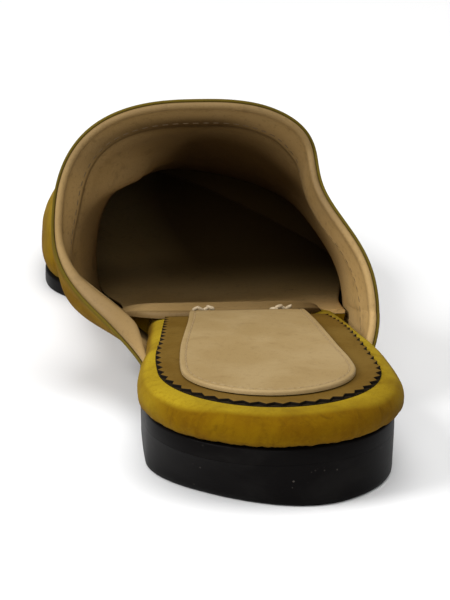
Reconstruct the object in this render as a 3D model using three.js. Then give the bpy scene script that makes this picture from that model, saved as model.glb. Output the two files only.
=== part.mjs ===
// Flat backless mule for the right foot: a lined suede vamp on a thin sole with a low heel block,
// a padded footbed wrapped in suede behind the vamp, and a sock with a pinked border.
// Millimetres, +Z up, +Y from heel to toe, so -X is the inner (medial) side of the foot.
import * as THREE from "three";

const { clamp, lerp, smoothstep } = THREE.MathUtils;

// Driving dimensions
const LENGTH = 262; // sole, back of the heel to the tip of the toe
const BALL_ALONG = 188; // widest place of the forefoot, from the back of the heel
const BALL_WIDTH = 82; // sole at the ball
const HEEL_WIDTH = 60; // sole at the heel
const HEEL_ROUND = 33; // length of the round back of the heel
const TOE_ROUND = 24; // length of the round front of the toe
const HEEL_HEIGHT = 10.7; // heel block
const HEEL_BREAST = 58; // front face of the heel block
const UNDERCUT_INNER = 7; // how far the heel's back slopes in towards the floor on the inner side
const UNDERCUT_OUTER = 0.2; // the same on the outer side
const SOLE_THICKNESS = 4;
const TREAD_START = 148; // the forefoot is flat on the floor from here
const TREAD_END = 200; // to here
const TOE_SPRING = 8; // lift of the sole at the tip of the toe
const WALL = 2.2; // suede with its lining
const TONGUE_ALONG = 103; // back edge of the vamp at the instep
const GAP = 0.3; // between pieces that touch
const LAYER_GAP = 0.2; // between the thin layers of the sock

// Footbed and sock
const FOOTBED_LENGTH = 109;
const FOOTBED_HEIGHT = 8;
const SOCK_FRONT = 93; // square front edge of the sock, from the back of the heel
const BORDER_BACK = 6.4; // back end of the pinked border
const BORDER_ROUND = 29; // length of its round end
const PAD_BACK = 11.4; // back end of the sock pad
const PAD_ROUND = 19.8; // length of its round end
const BORDER_THICKNESS = 0.9;
const PAD_THICKNESS = 1.1;
const TOOTH_PITCH = 3.9;
const TOOTH_DEPTH = 1.35;
const INSOLE_THICKNESS = 3.5; // forefoot insole under the ball
const INSOLE_REAR_RISE = 4.4; // extra thickness where it meets the footbed
const INSOLE_ROOM = 0.4; // between the foot of the vamp's wall and the insole's underside
const UPPER_INSET = 0.8; // sole edge to the foot of the vamp

// Outline of the sole seen from above: its centre line and half width, before the ends are rounded.
const SOLE_OUTLINE = [
  { along: 0, centre: 0, half: HEEL_WIDTH / 2 },
  { along: HEEL_ROUND, centre: 0, half: HEEL_WIDTH / 2 },
  { along: 56, centre: 0.6, half: 29.7 },
  { along: 80, centre: 2, half: 29 },
  { along: 102, centre: 3.4, half: 27.6 },
  { along: 130, centre: 4.5, half: 28.1 },
  { along: 150, centre: 3.6, half: 32.2 },
  { along: 168, centre: 3.1, half: 35.7 },
  { along: BALL_ALONG, centre: -1.6, half: BALL_WIDTH / 2 },
  { along: 208, centre: -4, half: 38.2 },
  { along: 226, centre: -6, half: 31.6 },
  { along: 242, centre: -7.2, half: 22.8 },
  { along: LENGTH, centre: -8, half: 14 },
];

// Outline of the footbed at its fullest level. It follows the heel and then narrows inside the vamp.
const FOOTBED_OUTLINE = [
  { along: 0, centre: 0, half: 31.8 },
  { along: 34, centre: 0, half: 31.8 },
  { along: 48, centre: 0.45, half: 30.55 },
  { along: 60, centre: 1, half: 28.6 },
  { along: 72, centre: 0.95, half: 27.2 },
  { along: 88, centre: 1.6, half: 26 },
  { along: 103, centre: 2.1, half: 25.1 },
  { along: FOOTBED_LENGTH, centre: 2.3, half: 24.8 },
];

// Outlines of the sock's two layers: the points of the pinked border, and the pad on top of it.
const BORDER_OUTLINE = [
  { along: 0, centre: 0, half: 26.9 },
  { along: 34, centre: 0, half: 26.9 },
  { along: 48, centre: -0.1, half: 26.1 },
  { along: 61, centre: 0.5, half: 24.5 },
  { along: 76, centre: 1.15, half: 23.1 },
  { along: 92, centre: 1.85, half: 21.7 },
  { along: 103, centre: 2.35, half: 20.7 },
];
const PAD_OUTLINE = [
  { along: 0, centre: -0.7, half: 20.9 },
  { along: 33, centre: -0.75, half: 20.9 },
  { along: 49, centre: -0.9, half: 19.2 },
  { along: 61, centre: -0.45, half: 17.6 },
  { along: 76, centre: 0.45, half: 16.05 },
  { along: 91, centre: 1.25, half: 14.95 },
  { along: 103, centre: 1.8, half: 14.2 },
];

// How far the insole's two sides lean out for each millimetre of its height, as the vamp's wall does
const INSOLE_LEAN = [
  { along: 109, outer: 0.14, inner: 1.1 },
  { along: 130, outer: 0.14, inner: 1.1 },
  { along: 150, outer: 0.14, inner: 1 },
  { along: 170, outer: 0.14, inner: 0.75 },
  { along: 190, outer: 0.14, inner: 0.35 },
  { along: 212, outer: 0.14, inner: 0.14 },
  { along: LENGTH, outer: 0.14, inner: 0.14 },
];

// Levels of the wrapped footbed's rounded side: height as a share of its thickness, and offset outwards.
const FOOTBED_LEVELS = [
  { rise: 0, offset: -2.8 },
  { rise: 0.1, offset: -1.2 },
  { rise: 0.32, offset: -0.2 },
  { rise: 0.55, offset: 0 },
  { rise: 0.78, offset: -0.7 },
  { rise: 0.94, offset: -2.2 },
  { rise: 1, offset: -4.2 },
];

// Cross-sections of the last. Each side swells from the foot of the wall to a bulge, which stands out by
// "bulge" at a height of "rise" above the sole, then runs over a shoulder to the ridge. "full" is the
// shoulder's exponent: 1 is a straight slope, 2 is an ellipse. "dent" is how far the side is drawn in below
// its shoulder.
const OUTER_SIDE = [
  { along: 64, bulge: 2, rise: 9, full: 2, dent: 0 },
  { along: 84, bulge: 3.4, rise: 11, full: 2, dent: 3.9 },
  { along: 104, bulge: 3.4, rise: 10, full: 2.55, dent: 7.9 },
  { along: 116, bulge: 3, rise: 10, full: 2.1, dent: 4.6 },
  { along: 130, bulge: 3, rise: 10, full: 1.62, dent: 1.2 },
  { along: 150, bulge: 3.8, rise: 10, full: 1.52, dent: 0.4 },
  { along: 170, bulge: 3.4, rise: 9.5, full: 1.55, dent: 0 },
  { along: 190, bulge: 3, rise: 9, full: 1.7, dent: 0 },
  { along: 212, bulge: 2.6, rise: 8, full: 1.9, dent: 0 },
  { along: 238, bulge: 2, rise: 7, full: 2.1, dent: 0 },
  { along: LENGTH, bulge: 1.6, rise: 5, full: 2.2, dent: 0 },
];
const INNER_SIDE = [
  { along: 64, bulge: 2.6, rise: 11, full: 2.4, dent: 0 },
  { along: 84, bulge: 10.8, rise: 19, full: 2.6, dent: 0 },
  { along: 104, bulge: 24.5, rise: 28, full: 2.75, dent: 0 },
  { along: 116, bulge: 20.5, rise: 27, full: 2.5, dent: 0 },
  { along: 130, bulge: 15.5, rise: 24, full: 2.15, dent: 0 },
  { along: 150, bulge: 10, rise: 19, full: 2.05, dent: 0 },
  { along: 170, bulge: 5.6, rise: 14, full: 2, dent: 0 },
  { along: 190, bulge: 2.2, rise: 10, full: 1.9, dent: 0 },
  { along: 212, bulge: 2.6, rise: 8.5, full: 1.95, dent: 0 },
  { along: 238, bulge: 2.2, rise: 8, full: 2.1, dent: 0 },
  { along: LENGTH, bulge: 1.6, rise: 5, full: 2.2, dent: 0 },
];

// Top of the instep and toe: its place across the foot and its height above the floor
const RIDGE_LINE = [
  { along: 64, across: -8, top: 79 },
  { along: 84, across: -9, top: 77 },
  { along: 104, across: -10, top: 74 },
  { along: 116, across: -10, top: 69.2 },
  { along: 130, across: -9.5, top: 62.6 },
  { along: 150, across: -9, top: 53 },
  { along: 170, across: -9, top: 45.5 },
  { along: 190, across: -9.5, top: 40 },
  { along: 212, across: -10, top: 35.6 },
  { along: 238, across: -9, top: 32 },
  { along: LENGTH, across: -8, top: 31 },
];

// Places round a cross-section, from the outer sole edge (0) to the inner sole edge (1)
const OUTER_BULGE_AROUND = 0.14;
const DENT_AROUND = 0.264;
const DENT_REACH = 0.061;
const RIDGE_AROUND = 0.5;
const INNER_BULGE_AROUND = 0.84;
const OUTER_SWELL = 2; // how quickly the side swells above the sole: 1 is a straight slope
const INNER_SWELL = 3.5;

// Back edge of the vamp: how far along the foot it lies, going round from the outer sole edge (0) over the
// ridge (0.5) to the inner sole edge (1). The tongue stands back from the two sides.
const TOPLINE = [
  { around: 0, along: 70, flare: 0 },
  { around: 0.07, along: 74, flare: 1 },
  { around: 0.14, along: 79, flare: 1.9 },
  { around: 0.19, along: 84.5, flare: 2.3 },
  { around: 0.24, along: 92.5, flare: 2.4 },
  { around: 0.28, along: 101, flare: 2.4 },
  { around: 0.32, along: 106, flare: 2.6 },
  { around: 0.38, along: 105.5, flare: 3.4 },
  { around: 0.44, along: 103.5, flare: 4.4 },
  { around: 0.5, along: 103, flare: 5 },
  { around: 0.6, along: 103.5, flare: 4.8 },
  { around: 0.7, along: 105.5, flare: 3.2 },
  { around: 0.78, along: 105.5, flare: 2 },
  { around: 0.84, along: 103.5, flare: 1.6 },
  { around: 0.88, along: 98, flare: 1.5 },
  { around: 0.92, along: 89, flare: 1.2 },
  { around: 0.96, along: 77, flare: 0.6 },
  { around: 1, along: 63, flare: 0 },
];
const FLARE_REACH = 5.5; // how far from the topline the edge stands out
const FLARE_FADE_START = 45; // the vamp behind the flare comes back to its form from here
const FLARE_FADE_END = 130; // to here, both from the topline
const FLARE_SIDE = 0.1; // share round over which the flare dies away towards the sole

const EDGE_ROWS = [0, 2.5, 5, 7.5]; // rows of the flared edge, from the topline
const EDGE_WIDTH = 10; // the rows of the body start here
const UPPER_ROWS = 32; // topline to toe
const UPPER_COLUMNS = 48; // outer sole edge to inner sole edge
const END_STEPS = 9; // stations round a heel or a toe
const MIDDLE_STEP = 9; // spacing of the stations between them

// A column of a table as a smooth function of another column: cubic pieces with central slopes.
function column(table, name, by = "along") {
  const at = table.map((row) => row[by]);
  const value = table.map((row) => row[name]);
  const last = table.length - 1;
  const slope = value.map((_, i) => {
    const before = Math.max(0, i - 1);
    const after = Math.min(last, i + 1);
    return (value[after] - value[before]) / (at[after] - at[before]);
  });
  return (x) => {
    if (x <= at[0]) return value[0];
    if (x >= at[last]) return value[last];
    const i = at.findIndex((_, k) => x <= at[k + 1]);
    const span = at[i + 1] - at[i];
    const t = (x - at[i]) / span;
    const rise = t * t * (3 - 2 * t);
    const bend = t * (1 - t) * span * ((1 - t) * slope[i] - t * slope[i + 1]);
    return value[i] * (1 - rise) + value[i + 1] * rise + bend;
  };
}

// All columns of a table as functions of the distance along the foot
function columns(table) {
  return Object.fromEntries(Object.keys(table[0]).map((name) => [name, column(table, name)]));
}

// Share of the full width left at a station inside a round end of the given length.
function roundEnd(distanceFromEnd, length) {
  const t = clamp(1 - distanceFromEnd / length, 0, 1);
  return Math.sqrt(1 - t * t);
}

// Side profile of the sole
function soleBottom(along) {
  const heel = (HEEL_HEIGHT + GAP) * (1 - smoothstep(along, HEEL_BREAST - 6, TREAD_START));
  const toe = Math.max(0, (along - TREAD_END) / (LENGTH - TREAD_END));
  return heel + TOE_SPRING * toe * toe;
}

function soleTop(along) {
  return soleBottom(along) + SOLE_THICKNESS;
}

function footbedTop(along) {
  return soleTop(along) + GAP + FOOTBED_HEIGHT;
}

const soleCentre = column(SOLE_OUTLINE, "centre");
const soleHalfColumn = column(SOLE_OUTLINE, "half");
const footbedCentre = column(FOOTBED_OUTLINE, "centre");
const footbedHalfColumn = column(FOOTBED_OUTLINE, "half");

function soleHalf(along) {
  return soleHalfColumn(along) * roundEnd(along, HEEL_ROUND) * roundEnd(LENGTH - along, TOE_ROUND);
}

// The footbed stands past the sole at the back by the swell of its side.
const FOOTBED_BACK = -1.8;

function footbedHalf(along) {
  return footbedHalfColumn(along) * roundEnd(along - FOOTBED_BACK, HEEL_ROUND);
}

// Stations along a piece, close together in its round ends.
function stations(from, to, roundBack, roundFront) {
  const back = [];
  const front = [];
  for (let i = 0; i < END_STEPS; i++) {
    const share = 1 - Math.cos((i / END_STEPS) * (Math.PI / 2));
    if (roundBack) back.push(from + roundBack * share);
    if (roundFront) front.unshift(to - roundFront * share);
  }
  const start = from + roundBack;
  const end = to - roundFront;
  const count = Math.ceil((end - start) / MIDDLE_STEP);
  const middle = Array.from({ length: count + 1 }, (_, i) => lerp(start, end, i / count));
  return [...back, ...middle, ...front];
}

// A closed outline seen from above, from the front along the outer side to the heel and back along the
// inner side. A side that ends on the centre line gives one point there.
function outline(centre, half, along) {
  const touching = 1e-6;
  const outer = [...along].reverse().map((y) => new THREE.Vector2(centre(y) + half(y), y));
  const inner = along.map((y) => new THREE.Vector2(centre(y) - half(y), y));
  if (half(along[0]) < touching) inner.shift();
  if (half(along.at(-1)) < touching) inner.pop();
  return [...outer, ...inner];
}

// The outline moved outwards by an offset, along the mean of its neighbouring edges' normals. An open end
// keeps its square front corners.
function offsetOutline(points, offset, openFront) {
  const last = points.length - 1;
  return points.map((point, i) => {
    const corner = openFront && (i === 0 || i === last);
    const before = i === 0 ? (corner ? point : points[last]) : points[i - 1];
    const after = i === last ? (corner ? point : points[0]) : points[i + 1];
    const along = after.clone().sub(before).normalize();
    const across = corner ? 0 : along.x;
    const outwards = corner ? Math.sign(-along.y) : -along.y;
    return point.clone().addScaledVector(new THREE.Vector2(outwards, across), offset);
  });
}

// A closed solid between rings that lie over each other. Each ring is a loop whose first half and second
// half face each other, so the end caps are strips that run across it.
function ringLoft(rings, tipped) {
  const count = rings[0].length;
  const positions = rings.flat().flatMap((p) => [p.x, p.y, p.z]);
  const index = [];
  const quad = (a, b, c, d) => index.push(a, b, c, a, c, d);
  for (let k = 0; k + 1 < rings.length; k++) {
    for (let i = 0; i < count; i++) {
      const next = (i + 1) % count;
      quad(k * count + next, k * count + i, (k + 1) * count + i, (k + 1) * count + next);
    }
  }
  const cap = (base, up) => {
    const face = (...corners) => {
      const ids = (up ? corners.reverse() : corners).map((id) => base + id);
      for (let k = 2; k < ids.length; k++) index.push(ids[0], ids[k - 1], ids[k]);
    };
    let low = 0;
    let high = count - 1;
    if (tipped) {
      face(0, 1, high);
      low = 1;
    }
    while (high - low > 2) {
      face(low, low + 1, high - 1, high);
      low += 1;
      high -= 1;
    }
    if (high - low === 2) face(low, low + 1, high);
  };
  cap(0, false);
  cap((rings.length - 1) * count, true);
  const geometry = new THREE.BufferGeometry();
  geometry.setAttribute("position", new THREE.Float32BufferAttribute(positions, 3));
  geometry.setIndex(index);
  geometry.computeVertexNormals();
  return geometry;
}

// A ring of the loft: an outline at a height that follows the piece's own profile.
function ring(points, height) {
  return points.map((p) => new THREE.Vector3(p.x, p.y, height(p.y)));
}

// Thin sole from heel to toe, with its edges eased
function outsoleGeometry() {
  const ease = 0.6;
  const edge = outline(soleCentre, soleHalf, stations(0, LENGTH, HEEL_ROUND, TOE_ROUND));
  const eased = offsetOutline(edge, -ease, false);
  return ringLoft(
    [
      ring(eased, soleBottom),
      ring(edge, (y) => soleBottom(y) + ease),
      ring(edge, (y) => soleTop(y) - ease),
      ring(eased, soleTop),
    ],
    true,
  );
}

// A ring of the heel block moved in at the back, the more the nearer to the inner side
function undercut(points, share) {
  return points.map((p) => {
    const reach = lerp(UNDERCUT_INNER, UNDERCUT_OUTER, smoothstep(p.x, -22, 14));
    const back = 1 - smoothstep(p.y, 6, 50);
    return new THREE.Vector2(p.x, p.y + share * reach * back);
  });
}

// Low heel block under the back of the sole, a little smaller where it meets the floor
function heelGeometry() {
  const taper = 0.35;
  const easeOffset = 1.2;
  const easeHeight = 0.8;
  const edge = outline(soleCentre, soleHalf, stations(0, HEEL_BREAST, HEEL_ROUND, 0));
  const eased = offsetOutline(edge, -easeOffset, true);
  const lower = offsetOutline(edge, -taper, true);
  return ringLoft(
    [
      ring(undercut(eased, 1), () => 0),
      ring(undercut(lower, 1 - easeHeight / HEEL_HEIGHT), () => easeHeight),
      ring(edge, () => HEEL_HEIGHT),
    ],
    false,
  );
}

const footbedEdge = outline(
  footbedCentre,
  footbedHalf,
  stations(FOOTBED_BACK, FOOTBED_LENGTH, HEEL_ROUND, 0),
);

// Padded footbed wrapped in suede, open to view behind the vamp
function footbedGeometry() {
  const levels = FOOTBED_LEVELS.map(({ rise, offset }) =>
    ring(offsetOutline(footbedEdge, offset, true), (y) => soleTop(y) + GAP + rise * FOOTBED_HEIGHT),
  );
  return ringLoft(levels, false);
}

// Outline of a layer of the sock, round at the heel and cut off square at the sock's front edge
function sockOutline(table, back, round) {
  const layer = columns(table);
  const half = (y) => layer.half(y) * roundEnd(y - back, round);
  return outline(layer.centre, half, stations(back, SOCK_FRONT, round, 0));
}

// Points along an open outline at equal steps, each with the outline's outward normal there
function evenly(points, count) {
  const curve = new THREE.CatmullRomCurve3(points.map((p) => new THREE.Vector3(p.x, p.y, 0)));
  curve.arcLengthDivisions = 20 * points.length;
  return Array.from({ length: count + 1 }, (_, i) => {
    const point = curve.getPointAt(i / count);
    const along = curve.getTangentAt(i / count);
    return { point: new THREE.Vector2(point.x, point.y), normal: new THREE.Vector2(-along.y, along.x) };
  });
}

function outlineLength(points) {
  return points.slice(1).reduce((sum, p, i) => sum + p.distanceTo(points[i]), 0);
}

// Border layer of the sock, its edge pinked into teeth
function sockBorderGeometry() {
  const edge = sockOutline(BORDER_OUTLINE, BORDER_BACK, BORDER_ROUND);
  const teeth = Math.round(outlineLength(edge) / TOOTH_PITCH);
  const pinked = evenly(edge, 2 * teeth).map(({ point, normal }, i) =>
    point.clone().addScaledVector(normal, i % 2 ? 0 : -TOOTH_DEPTH),
  );
  const bottom = (y) => footbedTop(y) + LAYER_GAP;
  return ringLoft([ring(pinked, bottom), ring(pinked, (y) => bottom(y) + BORDER_THICKNESS)], false);
}

// Sock pad on top of the border layer, with a soft edge
function sockPadGeometry() {
  const softEdge = 0.5;
  const edge = sockOutline(PAD_OUTLINE, PAD_BACK, PAD_ROUND);
  const bottom = (y) => footbedTop(y) + 2 * LAYER_GAP + BORDER_THICKNESS;
  return ringLoft(
    [
      ring(edge, bottom),
      ring(edge, (y) => bottom(y) + PAD_THICKNESS - softEdge),
      ring(offsetOutline(edge, -softEdge, true), (y) => bottom(y) + PAD_THICKNESS),
    ],
    false,
  );
}

// Forefoot insole inside the vamp, ahead of the footbed
function insoleGeometry() {
  const inset = UPPER_INSET + WALL + INSOLE_ROOM;
  const from = FOOTBED_LENGTH + GAP;
  const to = LENGTH - inset;
  const half = (y) => (soleHalfColumn(y) - inset) * roundEnd(to - y, TOE_ROUND);
  const edge = outline(soleCentre, half, stations(from, to, 0, TOE_ROUND));
  const bottom = (y) => soleTop(y) + GAP;
  const thickness = (y) => INSOLE_THICKNESS + INSOLE_REAR_RISE * (1 - smoothstep(y, from, BALL_ALONG));
  const lean = columns(INSOLE_LEAN);
  const spread = (y, side) => side(y) * thickness(y) * roundEnd(to - y, TOE_ROUND);
  const upperCentre = (y) => soleCentre(y) + (spread(y, lean.outer) - spread(y, lean.inner)) / 2;
  const upperHalf = (y) => half(y) + (spread(y, lean.outer) + spread(y, lean.inner)) / 2;
  const upperEdge = outline(upperCentre, upperHalf, stations(from, to, 0, TOE_ROUND));
  return ringLoft([ring(edge, bottom), ring(upperEdge, (y) => bottom(y) + thickness(y))], true);
}

const outerSide = columns(OUTER_SIDE);
const innerSide = columns(INNER_SIDE);
const ridgeLine = columns(RIDGE_LINE);
const toplineAlong = column(TOPLINE, "along", "around");
const toplineFlare = column(TOPLINE, "flare", "around");

// A point of a shoulder: the quarter of a superellipse from the bulge (turn 0) to the ridge (turn 1)
function shoulder(turn, full) {
  const across = Math.cos((turn * Math.PI) / 2);
  const up = Math.sin((turn * Math.PI) / 2);
  const reach = (across ** full + up ** full) ** (-1 / full);
  return { across: across * reach, up: up * reach };
}

// A point of the vamp's outer face: along the foot, and round it from outer (0) to inner sole edge (1)
function lastPoint(along, around) {
  const y = Math.min(along, LENGTH - UPPER_INSET);
  const closing = roundEnd(LENGTH - UPPER_INSET - y, TOE_ROUND);
  const isOuter = around < RIDGE_AROUND;
  const side = isOuter ? outerSide : innerSide;
  const outwards = isOuter ? 1 : -1;
  const footAround = isOuter ? 0 : 1;
  const bulgeAround = isOuter ? OUTER_BULGE_AROUND : INNER_BULGE_AROUND;

  const foot = soleCentre(y) + outwards * (soleHalfColumn(y) - UPPER_INSET) * closing;
  const floor = soleTop(y) + GAP;
  const bulge = foot + outwards * side.bulge(y) * closing;
  const bulgeHeight = floor + side.rise(y) * closing;
  const up = (around - footAround) / (bulgeAround - footAround);
  if (up <= 1) {
    const swell = 1 - (1 - up) ** (isOuter ? OUTER_SWELL : INNER_SWELL);
    return new THREE.Vector3(lerp(foot, bulge, swell), y, lerp(floor, bulgeHeight, up));
  }
  const ridge = lerp(soleCentre(y), ridgeLine.across(y), closing);
  const top = lerp(floor, ridgeLine.top(y), closing);
  const arc = shoulder((around - bulgeAround) / (RIDGE_AROUND - bulgeAround), side.full(y));
  const drawnIn = side.dent(y) * Math.exp(-(((around - DENT_AROUND) / DENT_REACH) ** 2));
  const x = lerp(ridge, bulge, arc.across) - outwards * drawnIn * closing;
  return new THREE.Vector3(x, y, lerp(bulgeHeight, top, arc.up));
}

// Outward normal of a face of the vamp, from two short steps on it
function faceNormal(point, along, around) {
  const step = 0.5;
  const turn = 0.004;
  const y = Math.min(along, LENGTH - UPPER_INSET - step);
  const forward = point(y + step, around).sub(point(y - step, around));
  const back = Math.max(0, around - turn);
  const ahead = Math.min(1, around + turn);
  const round = point(y, ahead).sub(point(y, back));
  return forward.cross(round).normalize();
}

// The vamp's outer face with its flared edge: behind the topline it falls in, then comes back to the last
function flaredPoint(along, around) {
  const away = Math.max(0, along - toplineAlong(around));
  const side = smoothstep(Math.min(around, 1 - around), 0, FLARE_SIDE);
  const fallen = 1 - Math.exp(-((away / FLARE_REACH) ** 2));
  const fade = 1 - smoothstep(away, FLARE_FADE_START, FLARE_FADE_END);
  const dip = toplineFlare(around) * side * fallen * fade;
  return lastPoint(along, around).addScaledVector(faceNormal(lastPoint, along, around), -dip);
}

// Vamp: one wall of real thickness, open at the topline and underneath, closed at the toe
function upperGeometry() {
  const tip = LENGTH - UPPER_INSET;
  const outer = [];
  const inner = [];
  for (let row = 0; row < UPPER_ROWS; row++) {
    const inEdge = row < EDGE_ROWS.length;
    const turn = (row - EDGE_ROWS.length) / (UPPER_ROWS - EDGE_ROWS.length);
    for (let c = 0; c <= UPPER_COLUMNS; c++) {
      const around = c / UPPER_COLUMNS;
      const edge = toplineAlong(around);
      const start = edge + EDGE_WIDTH;
      const body = start + (tip - start) * Math.sin((turn * Math.PI) / 2);
      const along = inEdge ? edge + EDGE_ROWS[row] : body;
      const face = flaredPoint(along, around);
      const back = face.clone().addScaledVector(faceNormal(flaredPoint, along, around), -WALL);
      const onSole = c === 0 || c === UPPER_COLUMNS;
      if (onSole) back.z = face.z;
      outer.push(face);
      inner.push(back);
    }
  }
  const toe = lastPoint(tip, RIDGE_AROUND);
  outer.push(toe);
  inner.push(toe.clone().add(new THREE.Vector3(0, -WALL, 0)));

  const size = outer.length;
  const columns = UPPER_COLUMNS + 1;
  const index = [];
  const triangle = (a, b, c) => a !== b && b !== c && a !== c && index.push(a, b, c);
  const quad = (a, b, c, d) => {
    triangle(a, b, c);
    triangle(a, c, d);
  };
  const at = (row, c) => (row === UPPER_ROWS ? size - 1 : row * columns + c);
  for (let row = 0; row < UPPER_ROWS; row++) {
    for (let c = 0; c < UPPER_COLUMNS; c++) {
      const [a, b, d, e] = [at(row, c), at(row + 1, c), at(row + 1, c + 1), at(row, c + 1)];
      quad(a, b, d, e);
      quad(size + e, size + d, size + b, size + a);
    }
    const [a, b] = [at(row, 0), at(row + 1, 0)];
    quad(b, a, size + a, size + b);
    const [c, d] = [at(row, UPPER_COLUMNS), at(row + 1, UPPER_COLUMNS)];
    quad(c, d, size + d, size + c);
  }
  for (let c = 0; c < UPPER_COLUMNS; c++) quad(c, c + 1, size + c + 1, size + c);
  const geometry = new THREE.BufferGeometry();
  const positions = [...outer, ...inner].flatMap((p) => [p.x, p.y, p.z]);
  geometry.setAttribute("position", new THREE.Float32BufferAttribute(positions, 3));
  geometry.setIndex(index);
  geometry.computeVertexNormals();
  return geometry;
}

const blackRubber = new THREE.MeshStandardMaterial({ color: 0x1a1616, roughness: 0.55, metalness: 0 });
const mustardSuede = new THREE.MeshStandardMaterial({ color: 0xa87f0c, roughness: 0.95, metalness: 0 });
const brownLeather = new THREE.MeshStandardMaterial({ color: 0x7a6238, roughness: 0.7, metalness: 0 });
const tanLeather = new THREE.MeshStandardMaterial({ color: 0xc2a26a, roughness: 0.6, metalness: 0 });

function piece(name, geometry, material) {
  const mesh = new THREE.Mesh(geometry, material);
  mesh.name = name;
  return mesh;
}

const mule = new THREE.Group();
mule.add(
  piece("outsole", outsoleGeometry(), blackRubber),
  piece("heel", heelGeometry(), blackRubber),
  piece("upper", upperGeometry(), mustardSuede),
  piece("footbed", footbedGeometry(), mustardSuede),
  piece("insole", insoleGeometry(), tanLeather),
  piece("sock_border", sockBorderGeometry(), brownLeather),
  piece("sock_pad", sockPadGeometry(), tanLeather),
);

// The frame's origin is on the floor, in the middle of the shoe's box.
const middle = new THREE.Box3().setFromObject(mule).getCenter(new THREE.Vector3());
mule.position.set(-middle.x, -middle.y, 0);

export default mule;
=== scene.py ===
"""Studio scene of a flat suede mule for the right foot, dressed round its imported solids.

The shoe's own measures are millimetres: y runs from the back of the heel to the toe, x from the
middle of the heel to the outer side, z up from the floor. Placement turns them into the frame's metres.
"""

import logging
import math
from collections.abc import Sequence
from dataclasses import dataclass, field
from enum import Enum

import bmesh
import bpy
import numpy as np
from mathutils import Matrix, Vector


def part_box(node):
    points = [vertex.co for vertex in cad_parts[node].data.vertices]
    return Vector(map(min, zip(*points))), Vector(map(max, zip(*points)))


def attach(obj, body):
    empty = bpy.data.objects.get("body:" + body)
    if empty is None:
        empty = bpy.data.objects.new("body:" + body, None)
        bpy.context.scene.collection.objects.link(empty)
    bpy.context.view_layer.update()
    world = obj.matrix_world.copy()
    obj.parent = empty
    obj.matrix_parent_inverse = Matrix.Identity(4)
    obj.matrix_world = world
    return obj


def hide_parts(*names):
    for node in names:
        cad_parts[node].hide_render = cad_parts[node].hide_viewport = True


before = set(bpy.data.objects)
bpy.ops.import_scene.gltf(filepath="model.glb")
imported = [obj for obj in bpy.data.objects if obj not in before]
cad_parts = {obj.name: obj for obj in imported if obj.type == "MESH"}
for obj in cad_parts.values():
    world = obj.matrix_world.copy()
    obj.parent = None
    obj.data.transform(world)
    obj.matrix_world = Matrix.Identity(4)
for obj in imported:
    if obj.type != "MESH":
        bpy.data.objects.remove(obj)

LOG = logging.getLogger("mule")
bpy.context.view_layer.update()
BODY = "root"
MM = 0.001  # metres
WELD_DISTANCE = 1e-6  # metres
SHARP_ANGLE = math.radians(52.0)
QUARTER = math.pi / 2.0
TINY = 1e-9
FAR_FROM_EDGE = 30.0  # millimetres from a worn edge, for pieces that show none
UP = np.array([0.0, 0.0, 1.0])

Array = np.ndarray
Colour = tuple[float, float, float]
Material = bpy.types.Material
Socket = bpy.types.NodeSocket


def smoothstep(value: Array | float, low: Array | float, high: Array | float) -> Array:
    """Rise from 0 at low to 1 at high: the clipped share squared times three less twice the share."""
    share = np.clip((value - low) / (high - low), 0.0, 1.0)
    return share * share * (3.0 - 2.0 * share)


def fall(value: Array | float, low: float, high: float) -> Array:
    """Drop from 1 at low to 0 at high: one less the rise."""
    return 1.0 - smoothstep(value, low, high)


def round_end(distance: Array | float, radius: float) -> Array:
    """Share of the full width at a distance from a round end: the height of a quarter circle."""
    return np.sqrt(np.clip(1.0 - np.clip(1.0 - distance / radius, 0.0, 1.0) ** 2, 0.0, 1.0))


def between(first: Array, second: Array, share: Array | float) -> Array:
    """Straight mix of two values."""
    return first + (second - first) * share


def bell(distance: Array, width: float) -> Array:
    """Soft bump of height 1: e to the power of minus the squared distance over the width."""
    return np.exp(-((distance / width) ** 2))


def wobble(value: Array, waves: tuple[tuple[float, float, float], ...]) -> Array:
    """Add up sine waves.

    Args:
        value: where along the edge, in millimetres.
        waves: one (length, height, phase) for each wave.

    Returns:
        The sum of height times the sine of value over length in turns, plus phase.
    """
    total = np.zeros_like(value, dtype=float)
    for length, height, phase in waves:
        total += height * np.sin(value / length * 2.0 * math.pi + phase)
    return total


def unit(vectors: Array) -> Array:
    """Scale vectors to length 1; one of no length points along the second axis."""
    size = np.linalg.norm(vectors, axis=-1, keepdims=True)
    return np.where(size > TINY, vectors / np.maximum(size, TINY), np.eye(vectors.shape[-1])[1])


@dataclass(frozen=True)
class Table:
    """Rows of measures under named columns; each column is a smooth function of the first."""

    names: tuple[str, ...]
    rows: tuple[tuple[float, ...], ...]

    def column(self, name: str, at: Array) -> Array:
        """Read one column between its rows.

        Formula: a cubic between neighbouring rows, which leaves each row with the slope of the line
        that joins the rows on either side of it, and with a one-sided slope at both ends.

        Args:
            name: column to read.
            at: values of the first column.

        Returns:
            The column's values there.
        """
        table = np.asarray(self.rows, dtype=float)
        key, value = table[:, 0], table[:, self.names.index(name)]
        low = np.maximum(np.arange(len(key)) - 1, 0)
        high = np.minimum(np.arange(len(key)) + 1, len(key) - 1)
        slope = (value[high] - value[low]) / (key[high] - key[low])
        place = np.clip(np.asarray(at, dtype=float), key[0], key[-1])
        i = np.clip(np.searchsorted(key, place) - 1, 0, len(key) - 2)
        span = key[i + 1] - key[i]
        share = (place - key[i]) / span
        rise = share * share * (3.0 - 2.0 * share)
        bend = share * (1.0 - share) * span * ((1.0 - share) * slope[i] - share * slope[i + 1])
        return value[i] * (1.0 - rise) + value[i + 1] * rise + bend


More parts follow.
